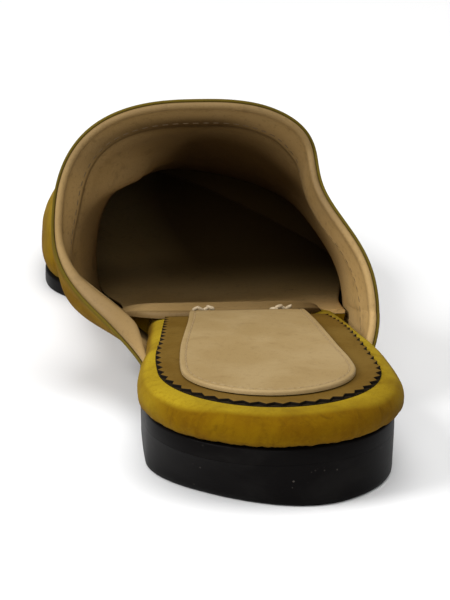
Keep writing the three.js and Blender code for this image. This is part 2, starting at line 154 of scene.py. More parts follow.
@dataclass(frozen=True)
class Crease:
    """A soft trough in the vamp along a straight line on its unrolled surface."""

    start: tuple[float, float]  # millimetres along the shoe, share of the way round
    end: tuple[float, float]
    width: float  # half width of the trough
    depth: float  # how far it goes in; a negative depth stands out
    taper: float = 0.0  # share of its length over which it fades at either end

    GIRTH = 180.0  # millimetres round the vamp
    EASE = 1e-3  # keeps a line without a taper whole

    def press(self, along: Array, around: Array) -> Array:
        """Depth of the trough: a bell over the distance from the line, faded at its ends.

        Args:
            along: millimetres from the back of the heel.
            around: share of the way round the vamp.

        Returns:
            Millimetres inwards.
        """
        a, b = (np.array([tip[0], tip[1] * self.GIRTH]) for tip in (self.start, self.end))
        here = np.stack([along, around * self.GIRTH], axis=-1)
        share = np.clip(((here - a) @ (b - a)) / ((b - a) @ (b - a)), 0.0, 1.0)
        away = np.linalg.norm(here - (a + share[..., None] * (b - a)), axis=-1)
        fade = smoothstep(np.minimum(share, 1.0 - share), -self.EASE, self.taper)
        return self.depth * fade * bell(away, self.width)


OUTLINE = ("along", "centre", "half")
SIDE = ("along", "bulge", "rise", "full", "dent")
SOLE_OUTLINE = Table(OUTLINE, (
    (0, 0, 30), (33, 0, 30), (56, 0.6, 29.7), (80, 2, 29), (102, 3.4, 27.6), (130, 4.5, 28.1),
    (150, 3.6, 32.2), (168, 3.1, 35.7), (188, -1.6, 41), (208, -4, 38.2), (226, -6, 31.6),
    (242, -7.2, 22.8), (262, -8, 14),
))
FOOTBED_OUTLINE = Table(OUTLINE, (
    (0, 0, 31.8), (34, 0, 31.8), (48, 0.45, 30.55), (60, 1, 28.6), (72, 0.95, 27.2), (88, 1.6, 26),
    (103, 2.1, 25.1), (109, 2.3, 24.8),
))
BORDER_OUTLINE = Table(OUTLINE, (
    (0, 0, 26.9), (34, 0, 26.9), (48, -0.1, 26.1), (61, 0.5, 24.5), (76, 1, 22.95), (92, 1.25, 21.1),
    (103, 1.7, 20.05),
))
PAD_OUTLINE = Table(OUTLINE, (
    (0, -0.7, 20.9), (33, -0.75, 20.9), (49, -0.9, 19.2), (61, -0.45, 17.6), (76, 0.45, 16.05),
    (91, 1.25, 14.95), (103, 1.8, 14.2),
))
INSOLE_LEAN = Table(("along", "outer", "inner"), (
    (109, 0.14, 1.1), (130, 0.14, 1.1), (150, 0.14, 1), (170, 0.14, 0.75), (190, 0.14, 0.35),
    (212, 0.14, 0.14), (262, 0.14, 0.14),
))
FOOTBED_SIDE = Table(("rise", "offset"), (
    (0, -2.8), (0.1, -1.2), (0.32, -0.2), (0.55, 0), (0.78, -0.7), (0.94, -2.2), (1, -4.2),
))
HEEL_SIDE = Table(("height", "offset"), (
    (0, -1.2), (0.25, -0.8), (0.8, -0.35), (3, -0.24), (6.5, -0.12), (10.95, 0),
))
OUTER_SIDE = Table(SIDE, (
    (64, 2, 9, 2, 0), (84, 3.4, 11, 2, 3.9), (104, 3.4, 10, 2.55, 7.9), (116, 3, 10, 2.1, 4.6),
    (130, 3, 10, 1.62, 1.2), (150, 3.8, 10, 1.52, 0.4), (170, 3.4, 9.5, 1.55, 0), (190, 3, 9, 1.7, 0),
    (212, 2.6, 8, 1.9, 0), (238, 2, 7, 2.1, 0), (262, 1.6, 5, 2.2, 0),
))
INNER_SIDE = Table(SIDE, (
    (64, 2.6, 11, 2.4, 0), (84, 10.8, 19, 2.6, 0), (104, 24.5, 28, 2.75, 0), (116, 20.5, 27, 2.5, 0),
    (130, 15.5, 24, 2.15, 0), (150, 10, 19, 2.05, 0), (170, 5.6, 14, 2, 0), (190, 2.2, 10, 1.9, 0),
    (212, 2.6, 8.5, 1.95, 0), (238, 2.2, 8, 2.1, 0), (262, 1.6, 5, 2.2, 0),
))
RIDGE_LINE = Table(("along", "across", "top"), (
    (64, -8, 79), (84, -9, 77), (104, -10, 74), (116, -10, 69.2), (130, -9.5, 62.6), (150, -9, 53),
    (170, -9, 45.5), (190, -9.5, 40), (212, -10, 35.6), (238, -9, 32), (262, -8, 31),
))
TOPLINE = Table(("around", "along", "flare"), (
    (0, 70, 0), (0.07, 74, 1), (0.14, 79, 1.9), (0.19, 84.5, 2.3), (0.24, 92.5, 2.4), (0.28, 101, 2.4),
    (0.32, 106, 2.6), (0.38, 105.5, 3.4), (0.44, 103.5, 4.4), (0.5, 103, 5), (0.6, 103.5, 4.8),
    (0.7, 105.5, 3.2), (0.78, 105.5, 2), (0.84, 103.5, 1.6), (0.88, 98, 1.5), (0.92, 89, 1.2),
    (0.96, 77, 0.6), (1, 63, 0),
))


@dataclass(frozen=True)
class Last:
    """The form that every layer of the shoe follows, in millimetres."""

    length: float = 262.0
    heel_round: float = 33.0  # length of the round back end
    toe_round: float = 24.0  # length of the round front end
    heel_height: float = 10.7
    heel_flat_end: float = 52.0  # where the sole starts to come down from the heel
    tread_start: float = 148.0  # where it reaches the floor
    tread_end: float = 200.0  # where the toe spring starts
    toe_spring: float = 8.0
    sole_thickness: float = 4.0
    gap: float = 0.3  # room between pieces that lie on each other
    footbed_height: float = 8.0
    footbed_back: float = -1.8  # y of the footbed's back end
    upper_inset: float = 0.8  # how far the foot of the vamp sits in from the sole's edge
    upper_end: float = 261.2  # y of the vamp's front tip

    OUTER_BULGE = 0.14
    INNER_BULGE = 0.84
    OUTER_SWELL = 2.0
    INNER_SWELL = 3.5
    RIDGE = 0.5
    DENT_AT = 0.264
    DENT_REACH = 0.061
    FLARE_REACH = 5.5
    FLARE_FADE = (45.0, 130.0)

    def sole_bottom(self, y: Array) -> Array:
        """Underside of the sole: level over the heel, eased down to the tread, parabola at the toe.

        Args:
            y: millimetres from the back of the heel.

        Returns:
            Heights over the floor.
        """
        arch = (self.heel_height + self.gap) * fall(y, self.heel_flat_end, self.tread_start)
        spring = np.maximum(0.0, (y - self.tread_end) / (self.length - self.tread_end)) ** 2
        return arch + self.toe_spring * spring

    def sole_top(self, y: Array) -> Array:
        """Top of the sole."""
        return self.sole_bottom(y) + self.sole_thickness

    def footbed_bottom(self, y: Array) -> Array:
        """Underside of the footbed."""
        return self.sole_top(y) + self.gap

    def footbed_top(self, y: Array) -> Array:
        """Top of the footbed."""
        return self.footbed_bottom(y) + self.footbed_height

    def flare_dip(self, along: Array, around: Array) -> Array:
        """How far the vamp falls in behind its flared edge.

        Formula: the flare times one less a bell over the distance from the topline, faded out again
        further along the vamp.

        Args:
            along: millimetres from the back of the heel.
            around: share of the way round the vamp.

        Returns:
            Millimetres inwards.
        """
        away = np.maximum(0.0, along - TOPLINE.column("along", around))
        deep = TOPLINE.column("flare", around) * (1.0 - bell(away, self.FLARE_REACH))
        return deep * fall(away, *self.FLARE_FADE)

    def upper_point(self, along: Array, around: Array) -> Array:
        """Outside of the vamp before its flare.

        Formula: from the sole's edge on either side a power curve leads out to the widest point, and from
        there a superellipse quarter leads up to the ridge; a bell dents the outer side, and every
        measure closes to a point at the toe as a quarter circle does.

        Args:
            along: millimetres from the back of the heel.
            around: share of the way round, 0 at the outer and 1 at the inner edge of the sole.

        Returns:
            Points, one for each pair.
        """
        y = np.minimum(along, self.upper_end)
        closing = round_end(self.upper_end - y, self.toe_round)
        outer = around < self.RIDGE
        way = np.where(outer, 1.0, -1.0)

        def side(name: str) -> Array:
            """Read a measure from the table of the side that each point is on."""
            return np.where(outer, OUTER_SIDE.column(name, y), INNER_SIDE.column(name, y))

        foot_at = np.where(outer, 0.0, 1.0)
        bulge_at = np.where(outer, self.OUTER_BULGE, self.INNER_BULGE)
        middle = SOLE_OUTLINE.column("centre", y)
        foot = middle + way * (SOLE_OUTLINE.column("half", y) - self.upper_inset) * closing
        floor = self.sole_top(y) + self.gap
        widest = foot + way * side("bulge") * closing
        widest_z = floor + side("rise") * closing
        up = (around - foot_at) / (bulge_at - foot_at)
        swell = np.where(outer, self.OUTER_SWELL, self.INNER_SWELL)
        low_x = between(foot, widest, 1.0 - np.clip(1.0 - up, 0.0, 1.0) ** swell)
        low_z = between(floor, widest_z, up)
        ridge = between(middle, RIDGE_LINE.column("across", y), closing)
        top = between(floor, RIDGE_LINE.column("top", y), closing)
        turn = np.clip((around - bulge_at) / (self.RIDGE - bulge_at), 0.0, 1.0) * QUARTER
        c, s, full = np.cos(turn), np.sin(turn), side("full")
        reach = (np.abs(c) ** full + np.abs(s) ** full) ** (-1.0 / full)
        dent = side("dent") * bell(around - self.DENT_AT, self.DENT_REACH) * closing
        high_x = between(ridge, widest, c * reach) - way * dent
        high_z = between(widest_z, top, s * reach)
        low = up <= 1.0
        return np.stack([np.where(low, low_x, high_x), y, np.where(low, low_z, high_z)], axis=-1)


@dataclass(frozen=True)
class Placement:
    """Where the back of the heel's middle lies in the frame, in metres."""

    x: float
    y: float

    @classmethod
    def from_frame(cls) -> "Placement":
        """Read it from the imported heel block: the middle of its width and its back."""
        low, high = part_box("heel")
        return cls((low.x + high.x) / 2.0, low.y)

    def metres(self, points: Array) -> Array:
        """Turn the shoe's millimetres into the frame's metres."""
        return points * MM + np.array([self.x, self.y, 0.0])


@dataclass(frozen=True)
class Loop:
    """An outline that mirrors itself about a spine."""

    points: Array  # (n, 2), from one side's open end round the tip to the other side
    closed: bool = False  # whether it has a tip at both ends

    TIP_ROOM = 14.0  # how far the spine stays short of a round tip

    @classmethod
    def from_sides(cls, y: Array, centre: Array, half: Array, closed: bool) -> "Loop":
        """Join the two sides of an outline.

        Args:
            y: stations from the tip onwards.
            centre: middle of the outline there.
            half: half its width, 0 at the tip, and at the last station too if closed.
            closed: whether the last station is a tip.

        Returns:
            The loop, down the outer side and back up the inner one.
        """
        outer = np.stack([centre + half, y], axis=-1)[::-1]
        inner = np.stack([centre - half, y], axis=-1)[1 : len(y) - 1 if closed else len(y)]
        return cls(np.concatenate([outer, inner]), closed)

    @classmethod
    def rounded(
        cls, outline: Table, tip: float, radius: float, end: float, counts: tuple[int, int],
        inset: float = 0.0
    ) -> "Loop":
        """Outline of a layer with one round tip, open at its other end.

        Formula: the table's half width, less the inset, times the height of a quarter circle at the tip.

        Args:
            outline: its middle and half width along the shoe.
            tip: y of the round tip.
            radius: length of the rounding.
            end: y of the open end.
            counts: stations round the tip and along the rest.
            inset: how far it sits in from the table's outline.

        Returns:
            The loop.
        """
        way = np.sign(end - tip)
        y = tip + way * radius * (1.0 - np.cos(np.linspace(0.0, QUARTER, counts[0])))
        y = np.concatenate([y, np.linspace(y[-1], end, counts[1])[1:]])
        half = (outline.column("half", y) - inset) * round_end(np.abs(y - tip), radius)
        return cls.from_sides(y, outline.column("centre", y), half, False)

    def spine(self) -> Array:
        """Middle between each point and the one across from it, kept short of a round tip.

        Returns:
            (n, 2) points.
        """
        count = len(self.points)
        across = (count - np.arange(count)) % count if self.closed else count - 1 - np.arange(count)
        middle = (self.points + self.points[across]) / 2.0
        low, high = middle[:, 1].min(), middle[:, 1].max()
        tip_low = abs(middle[count // 2, 1] - low) < abs(middle[count // 2, 1] - high)
        low = low + self.TIP_ROOM if self.closed or tip_low else low
        high = high - self.TIP_ROOM if self.closed or not tip_low else high
        order = np.argsort(middle[:, 1])
        y = np.clip(middle[:, 1], low, high)
        return np.stack([np.interp(y, middle[order, 1], middle[order, 0]), y], axis=-1)

    def outward(self) -> Array:
        """Unit normals in the plane, turned away from the spine; straight sideways at an open end.

        Returns:
            (n, 2) directions.
        """
        points = self.points
        if self.closed:
            along = np.roll(points, -1, axis=0) - np.roll(points, 1, axis=0)
        else:
            along = np.gradient(points, axis=0)
        normal = unit(np.stack([-along[:, 1], along[:, 0]], axis=-1))
        normal = normal * np.sign(np.sum(normal * (points - points.mean(axis=0))))
        if not self.closed:
            normal[[0, -1]] = np.sign(normal[[0, -1]]) * (1.0, 0.0)
        return normal

    def moved(self, distance: Array | float) -> Array:
        """Points moved outwards by a distance."""
        return self.points + self.outward() * np.reshape(distance, (-1, 1))

    def travel(self) -> Array:
        """Length of the outline up to each point."""
        step = np.linalg.norm(np.diff(self.points, axis=0), axis=1)
        return np.concatenate([[0.0], np.cumsum(step)])

    def resampled(self, count: int) -> "Loop":
        """The same open outline with points at even steps of its length.

        Args:
            count: number of points.

        Returns:
            The new outline.
        """
        travel = self.travel()
        at = np.linspace(0.0, travel[-1], count)
        return Loop(np.stack([np.interp(at, travel, side) for side in self.points.T], axis=-1))


@dataclass
class Surface:
    """A mesh in arrays."""

    points: Array  # (n, 3) in millimetres
    faces: Array  # (m, 4) corner indices
    values: dict[str, Array] = field(default_factory=dict)  # named values, one for each point


def grid_faces(rows: int, columns: int, wrap: bool) -> Array:
    """Quads of a grid whose points run row by row.

    Args:
        rows: number of rows.
        columns: number of points in a row.
        wrap: whether the last column joins the first.

    Returns:
        (m, 4) corner indices.
    """
    across = columns if wrap else columns - 1
    row, column = np.meshgrid(np.arange(rows - 1) * columns, np.arange(across), indexing="ij")
    following = (column + 1) % columns
    corners = [row + column, row + following, row + columns + following, row + columns + column]
    return np.stack(corners, axis=-1).reshape(-1, 4)


def stack_rows(rows: Sequence[Array], values: dict[str, Sequence[Array | float]]) -> Surface:
    """Join rows of points into one closed skin; the first and last rows lie on a spine.

    Args:
        rows: (n, 3) arrays, all of one length.
        values: for each name, an array or a number for each row.

    Returns:
        The skin, with its columns wrapped round.
    """
    count = len(rows[0])
    spread = {k: np.concatenate([np.broadcast_to(v, count) for v in row]) for k, row in values.items()}
    return Surface(np.concatenate(rows), grid_faces(len(rows), count, True), spread)


def with_height(plan: Array, z: Array | float) -> Array:
    """Add a height to points in plan."""
    return np.concatenate([plan, np.broadcast_to(z, len(plan))[:, None]], axis=1)


class Graph:
    """A procedural material that reads Object coordinates and the mesh's own attributes."""

    def __init__(self, name: str) -> None:
        """Start a material of this name with one shader.

        Args:
            name: the material's name.
        """
        self.material = bpy.data.materials.new(name)
        self.material.use_nodes = True
        self.tree = self.material.node_tree
        self.tree.nodes.clear()
        self.shader = self.node("ShaderNodeBsdfPrincipled")
        output = self.node("ShaderNodeOutputMaterial")
        self.tree.links.new(self.shader.outputs[0], output.inputs["Surface"])
        self.place = self.node("ShaderNodeTexCoord").outputs["Object"]

    def node(self, kind: str, inputs: dict | None = None, **settings: object) -> bpy.types.Node:
        """Add a node.

        Args:
            kind: Blender's name of the node type.
            inputs: values or sockets by the name or number of the input.
            settings: properties of the node itself.

        Returns:
            The node.
        """
        made = self.tree.nodes.new(kind)
        for name, value in settings.items():
            setattr(made, name, value)
        self.feed(made, inputs or {})
        return made

    def feed(self, target: bpy.types.Node, inputs: dict) -> None:
        """Set or link the inputs of a node.

        Args:
            target: the node.
            inputs: values or sockets by the name or number of the input.
        """
        for name, value in inputs.items():
            if isinstance(value, Socket):
                self.tree.links.new(value, target.inputs[name])
            else:
                target.inputs[name].default_value = value

    def noise(
        self, size: float, detail: float, roughness: float = 0.5, bend: float = 0.0,
        stretch: tuple[float, float, float] = (1.0, 1.0, 1.0)
    ) -> Socket:
        """Cloudy noise from 0 to 1.

        Args:
            size: size of a cloud in millimetres.
            detail: octaves of finer noise.
            roughness: strength of the finer octaves.
            bend: distortion of the clouds.
            stretch: how much shorter the clouds are along each axis.

        Returns:
            The noise's value.
        """
        placed = self.node("ShaderNodeMapping", {"Vector": self.place, "Scale": stretch})
        inputs = {"Vector": placed.outputs[0], "Scale": 1.0 / (size * MM)}
        inputs |= {"Detail": detail, "Roughness": roughness, "Distortion": bend}
        return self.node("ShaderNodeTexNoise", inputs).outputs[0]

    def cells(self, size: float) -> Socket:
        """Distance inside cells of a given size in millimetres."""
        inputs = {"Vector": self.place, "Scale": 1.0 / (size * MM)}
        return self.node("ShaderNodeTexVoronoi", inputs, feature="F1").outputs["Distance"]

    def attribute(self, name: str) -> Socket:
        """A value that the mesh carries at each point."""
        return self.node("ShaderNodeAttribute", attribute_name=name).outputs["Fac"]

    def span(self, value: Socket, low: float, high: float) -> Socket:
        """Share of the way from low to high, clipped and eased."""
        inputs = {"Value": value, "From Min": low, "From Max": high}
        return self.node("ShaderNodeMapRange", inputs, interpolation_type="SMOOTHSTEP").outputs[0]

    def drop(self, value: Socket, low: float, high: float) -> Socket:
        """One less the share of the way from low to high."""
        return self.maths("SUBTRACT", 1.0, self.span(value, low, high))

    def maths(self, operation: str, first: object, second: object) -> Socket:
        """A sum, product or other operation of two values."""
        return self.node("ShaderNodeMath", {0: first, 1: second}, operation=operation).outputs[0]

    def scaled(self, value: Socket, times: object, plus: float) -> Socket:
        """A value times a factor, plus a number."""
        return self.maths("ADD", self.maths("MULTIPLY", value, times), plus)

    def tint(self, share: Socket, first: object, second: object) -> Socket:
        """Mix two colours.

        Args:
            share: how much of the second.
            first: a colour or a socket.
            second: a colour or a socket.

        Returns:
            The mixed colour.
        """
        colours = [(*c, 1.0) if isinstance(c, tuple) else c for c in (first, second)]
        inputs = {0: share, 6: colours[0], 7: colours[1]}
        return self.node("ShaderNodeMix", inputs, data_type="RGBA", blend_type="MIX").outputs[2]

    def coats(self, body: Socket, layers: list[tuple[Socket, object, Colour]]) -> Socket:
        """Lay colours over a first one, each over those before it.

        Args:
            body: the first colour.
            layers: (where it lies, how strong it is, its colour) for each coat.

        Returns:
            The colour of all coats.
        """
        for share, strength, colour in layers:
            body = self.tint(self.maths("MULTIPLY", share, strength), body, colour)
        return body

    def bump(self, layers: list[tuple[Socket, float]]) -> Socket:
        """Raise the surface by several heights.

        Args:
            layers: (value, height in millimetres at value 1) for each layer.

        Returns:
            The bumped normal.
        """
        normal = None
        for height, size in layers:
            inputs = {"Height": height, "Distance": size * MM, "Strength": 1.0}
            if normal is not None:
                inputs["Normal"] = normal
            normal = self.node("ShaderNodeBump", inputs).outputs[0]
        return normal


@dataclass(frozen=True)
class SuedeFinish:
    """Brushed suede: short nap, mottled where it lies over, with a painted highlight where it faces up and
    painted shade where the mesh marks it.
    """

    name: str = "mustard_suede"
    deep: Colour = (0.056, 0.023, 0.0003)  # where the nap lies away
    main: Colour = (0.105, 0.045, 0.0002)
    bright: Colour = (0.160, 0.086, 0.0006)  # where the nap stands up
    top: Colour = (0.300, 0.206, 0.009)  # painted highlight on upward faces and on the footbed's flat top
    stain_and_shade: Colour = (0.076, 0.034, 0.0008)  # the brownish patches, and the painted shade
    cut: Colour = (0.085, 0.066, 0.010)  # the cut edge
    sheen: Colour = (0.85, 0.72, 0.22)

    def material(self) -> Material:
        """Build the nodes: patches, brushed strokes, nap, a painted highlight and painted shade in colour,
        nap and fibres in bump.

        Returns:
            The material.
        """
        g = Graph(self.name)
        patches = g.noise(13.0, 3.0, 0.55, 0.6)
        strokes = g.noise(3.2, 3.0, 0.6, 0.8, (1.0, 1.0, 0.55))
        marks = g.noise(8.0, 3.0, 0.5, 0.6)
        nap = g.noise(1.1, 4.0, 0.7)
        fibres = g.noise(0.3, 2.0, 0.6)
        highlight_strength = g.scaled(g.span(patches, 0.25, 0.75), 0.6, 0.55)
        highlight_strength = g.maths("MULTIPLY", highlight_strength, g.span(nap, 0.10, 0.42))
        body = g.coats(g.tint(g.span(patches, 0.22, 0.80), self.main, self.bright), [
            (g.span(strokes, 0.44, 0.80), 0.55, self.deep),
            (g.span(marks, 0.50, 0.84), 0.45, self.stain_and_shade),
            # painted highlight where the top attribute is set, mottled by patches and nap
            (g.attribute("top"), highlight_strength, self.top),
            (g.span(nap, 0.44, 0.76), 0.5, self.bright),
            (g.span(fibres, 0.50, 0.85), 0.25, self.deep),
            # painted shade from the mesh's attribute, in the patches' brown
            (g.attribute("painted_shade"), 0.65, self.stain_and_shade),
            (g.attribute("cut"), 0.8, self.cut),
        ])
        normal = g.bump([(strokes, 0.07), (nap, 0.12), (fibres, 0.05)])
        g.feed(g.shader, {"Base Color": body, "Normal": normal, "Roughness": 0.94})
        g.feed(g.shader, {"Specular IOR Level": 0.05, "Sheen Weight": 0.04, "Sheen Roughness": 0.45})
        g.feed(g.shader, {"Sheen Tint": (*self.sheen, 1.0)})
        return g.material


@dataclass(frozen=True)
class LeatherFinish:
    """Smooth lining or sock leather with fine pores, soft mottling, a worn edge and painted shade where the
    mesh marks it.
    """

    name: str
    main: Colour
    dark: Colour  # the mottling, a seam and the painted shade
    pale: Colour  # where it is rubbed
    rim: Colour  # the edge
    rim_width: float = 1.6  # width of the edge's tone in millimetres
    rim_share: float = 0.4  # strength of the edge's tone
    seam: float = 8.0  # distance of a dark line from the edge, in millimetres
    seam_half: float = 0.45  # half the line's width
    seam_share: float = 0.5  # strength of the line
    pore: float = 0.55  # size of the grain in millimetres
    relief: float = 0.035  # height of the grain in millimetres
    roughness: float = 0.55
    gloss: float = 0.3

    def material(self) -> Material:
        """Build the nodes: mottling, fine grain and a seam line in colour, pores and grain in bump.

        Returns:
            The material.
        """
        g = Graph(self.name)
        clouds = g.noise(16.0, 4.0, 0.55, 0.4)
        spots = g.noise(5.0, 4.0, 0.6, 0.8)
        grain = g.noise(1.1, 4.0, 0.62)
        edge = g.attribute("edge_mm")
        off = g.maths("ABSOLUTE", g.maths("SUBTRACT", edge, self.seam), 0.0)
        body = g.coats(g.tint(g.span(clouds, 0.34, 0.68), self.main, self.pale), [
            (g.span(spots, 0.54, 0.78), 0.3, self.dark),
            (g.span(grain, 0.52, 0.74), 0.3, self.dark),
            (g.drop(off, self.seam_half * 0.3, self.seam_half * 1.7), self.seam_share, self.dark),
            (g.drop(edge, self.rim_width * 0.12, self.rim_width), self.rim_share, self.rim),
            # painted shade from the mesh's attribute
            (g.attribute("painted_shade"), 1.0, self.dark),
        ])
        normal = g.bump([(clouds, 0.25), (grain, self.relief * 1.6), (g.cells(self.pore), self.relief)])
        rough = g.scaled(clouds, 0.2, self.roughness - 0.1)
        g.feed(g.shader, {"Base Color": body, "Normal": normal, "Roughness": rough})
        g.feed(g.shader, {"Specular IOR Level": self.gloss})
        return g.material


@dataclass(frozen=True)
class RubberFinish:
    """Satin black rubber with a fine moulded texture and a little dust low down."""

    name: str = "satin_black_rubber"
    main: Colour = (0.0030, 0.0025, 0.0024)
    wear_and_shade: Colour = (0.006, 0.0054, 0.005)  # where it is rubbed grey
    dust: Colour = (0.16, 0.14, 0.12)
    dust_height: tuple[float, float] = (0.002, 0.012)  # metres over which the dust thins out

    def material(self) -> Material:
        """Build the nodes: worn clouds and dust specks in colour, moulded texture in bump and gloss.

        Returns:
            The material.
        """
        g = Graph(self.name)
        clouds = g.noise(18.0, 4.0, 0.6, 0.5, (1.0, 1.0, 2.0))
        scratches = g.noise(2.4, 4.0, 0.7, 0.6, (0.35, 0.35, 3.2))
        fine = g.noise(0.5, 3.0, 0.6)
        height = g.node("ShaderNodeSeparateXYZ", {0: g.place}).outputs["Z"]
        near_floor = g.maths("ADD", g.drop(height, *self.dust_height), 0.15)
        specks = g.drop(g.cells(1.9), 0.10, 0.17)
        specks = g.maths("MULTIPLY", specks, g.span(g.noise(7.0, 2.0), 0.55, 0.68))
        body = g.coats(g.tint(g.span(clouds, 0.42, 0.72), self.main, self.wear_and_shade), [
            (g.span(scratches, 0.60, 0.78), 0.35, self.wear_and_shade),
            (g.maths("MULTIPLY", specks, near_floor), 0.6, self.dust),
        ])
        normal = g.bump([(scratches, 0.02), (fine, 0.022)])
        g.feed(g.shader, {"Base Color": body, "Normal": normal, "Specular IOR Level": 0.03})
        g.feed(g.shader, {"Roughness": g.scaled(clouds, 0.22, 0.34)})
        return g.material


@dataclass(frozen=True)
class ThreadFinish:
    """Twisted sewing thread."""

    name: str
    main: Colour
    dark: Colour  # between its plies

    def material(self) -> Material:
        """Build the nodes: fine plies in colour and bump.

        Returns:
            The material.
        """
        g = Graph(self.name)
        plies = g.noise(0.22, 2.0)
        body = g.tint(g.span(plies, 0.4, 0.65), self.main, self.dark)
        g.feed(g.shader, {"Base Color": body, "Normal": g.bump([(plies, 0.05)]), "Roughness": 0.7})
        return g.material


@dataclass(frozen=True)
class FloorFinish:
    """Plain pale studio floor."""

    name: str = "studio_floor"
    main: Colour = (0.80, 0.80, 0.80)
    shade: Colour = (0.78, 0.78, 0.782)  # its faint clouds

    def material(self) -> Material:
        """Build the nodes: faint clouds in colour.

        Returns:
            The material.
        """
        g = Graph(self.name)
        body = g.tint(g.noise(400.0, 2.0), self.main, self.shade)
        g.feed(g.shader, {"Base Color": body, "Roughness": 0.8, "Specular IOR Level": 0.15})
        return g.material


class Slot(Enum):
    """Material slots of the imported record."""

    SOLE = "sole_black"
    SUEDE = "mustard_suede"
    LINING = "tan_lining"
    BORDER = "brown_leather"
    PAD = "tan_leather"


class Finish(Enum):
    """Finishes of the pieces, each with the slot that it fills."""

    RUBBER = (Slot.SOLE, RubberFinish())
    SUEDE = (Slot.SUEDE, SuedeFinish())
    LINING = (Slot.LINING, LeatherFinish(
        "tan_lining_leather", (0.500, 0.320, 0.120), (0.036, 0.018, 0.004), (0.540, 0.355, 0.146),
        (0.46, 0.310, 0.130), relief=0.025, gloss=0.15
    ))
    BORDER = (Slot.BORDER, LeatherFinish(
        "brown_border_leather", (0.108, 0.058, 0.008), (0.058, 0.031, 0.004), (0.132, 0.076, 0.014),
        (0.006, 0.0045, 0.003), rim_width=0.08, rim_share=1.0, seam=-5.0, roughness=0.68, gloss=0.06
    ))
    DARK_UNDERLAY = (Slot.BORDER, LeatherFinish(
        "dark_underlay_leather", (0.014, 0.010, 0.005), (0.007, 0.005, 0.003), (0.018, 0.013, 0.007),
        (0.010, 0.007, 0.004), seam=-5.0, roughness=0.9, gloss=0.02
    ))
    PAD = (Slot.PAD, LeatherFinish(
        "tan_pad_leather", (0.272, 0.184, 0.076), (0.163, 0.100, 0.036), (0.302, 0.212, 0.096),
        (0.30, 0.21, 0.095), rim_width=0.6, rim_share=0.2, seam=1.5, seam_half=0.3, seam_share=0.3,
        pore=0.45, relief=0.02, roughness=0.55, gloss=0.2
    ))
    PAD_THREAD = (Slot.PAD, ThreadFinish("tan_thread", (0.30, 0.21, 0.10), (0.18, 0.12, 0.05)))
    PALE_THREAD = (Slot.PAD, ThreadFinish("pale_thread", (0.42, 0.33, 0.21), (0.28, 0.21, 0.12)))
    LINING_THREAD = (Slot.LINING, ThreadFinish("brown_thread", (0.09, 0.054, 0.02), (0.06, 0.034, 0.012)))


@dataclass(frozen=True)
class Workshop:
    """Turns arrays into pieces of the scene."""

    place: Placement
    materials: dict[Finish, Material] = field(default_factory=dict)  # those built so far

    def material(self, finish: Finish) -> Material:
        """The material of a finish, built when it is first asked for."""
        if finish not in self.materials:
            self.materials[finish] = finish.value[1].material()
        return self.materials[finish]

    def mesh(self, name: str, surface: Surface, material: Material) -> bpy.types.Object:
        """Make a closed, welded and smooth mesh whose faces point outwards.

        Args:
            name: the object's name.
            surface: the arrays.
            material: its material.

        Returns:
            The new object, linked to the scene.
        """
        data = bpy.data.meshes.new(name)
        data.from_pydata(self.place.metres(surface.points).tolist(), [], surface.faces.tolist())
        for key, values in surface.values.items():
            layer = data.attributes.new(key, "FLOAT", "POINT")
            layer.data.foreach_set("value", np.asarray(values, dtype=np.float32))
        work = bmesh.new()
        work.from_mesh(data)
        bmesh.ops.remove_doubles(work, verts=work.verts, dist=WELD_DISTANCE)
        if work.calc_volume(signed=True) < 0.0:
            bmesh.ops.reverse_faces(work, faces=work.faces)
        open_edges = sum(1 for edge in work.edges if not edge.is_manifold)
        work.to_mesh(data)
        work.free()
        data.polygons.foreach_set("use_smooth", np.ones(len(data.polygons), dtype=bool))
        data.set_sharp_from_angle(angle=SHARP_ANGLE)
        data.materials.append(material)
        made = bpy.data.objects.new(name, data)
        bpy.context.scene.collection.objects.link(made)
        LOG.info("%s: %d faces, %d open edges", name, len(data.polygons), open_edges)
        return made

    def piece(self, name: str, surface: Surface, finish: Finish, node: str) -> bpy.types.Object:
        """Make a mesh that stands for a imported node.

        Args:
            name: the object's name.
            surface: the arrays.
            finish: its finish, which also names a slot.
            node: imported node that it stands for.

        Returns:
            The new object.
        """
        made = self.mesh(name, surface, self.material(finish))
        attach(made, BODY)
        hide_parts(node)
        return made


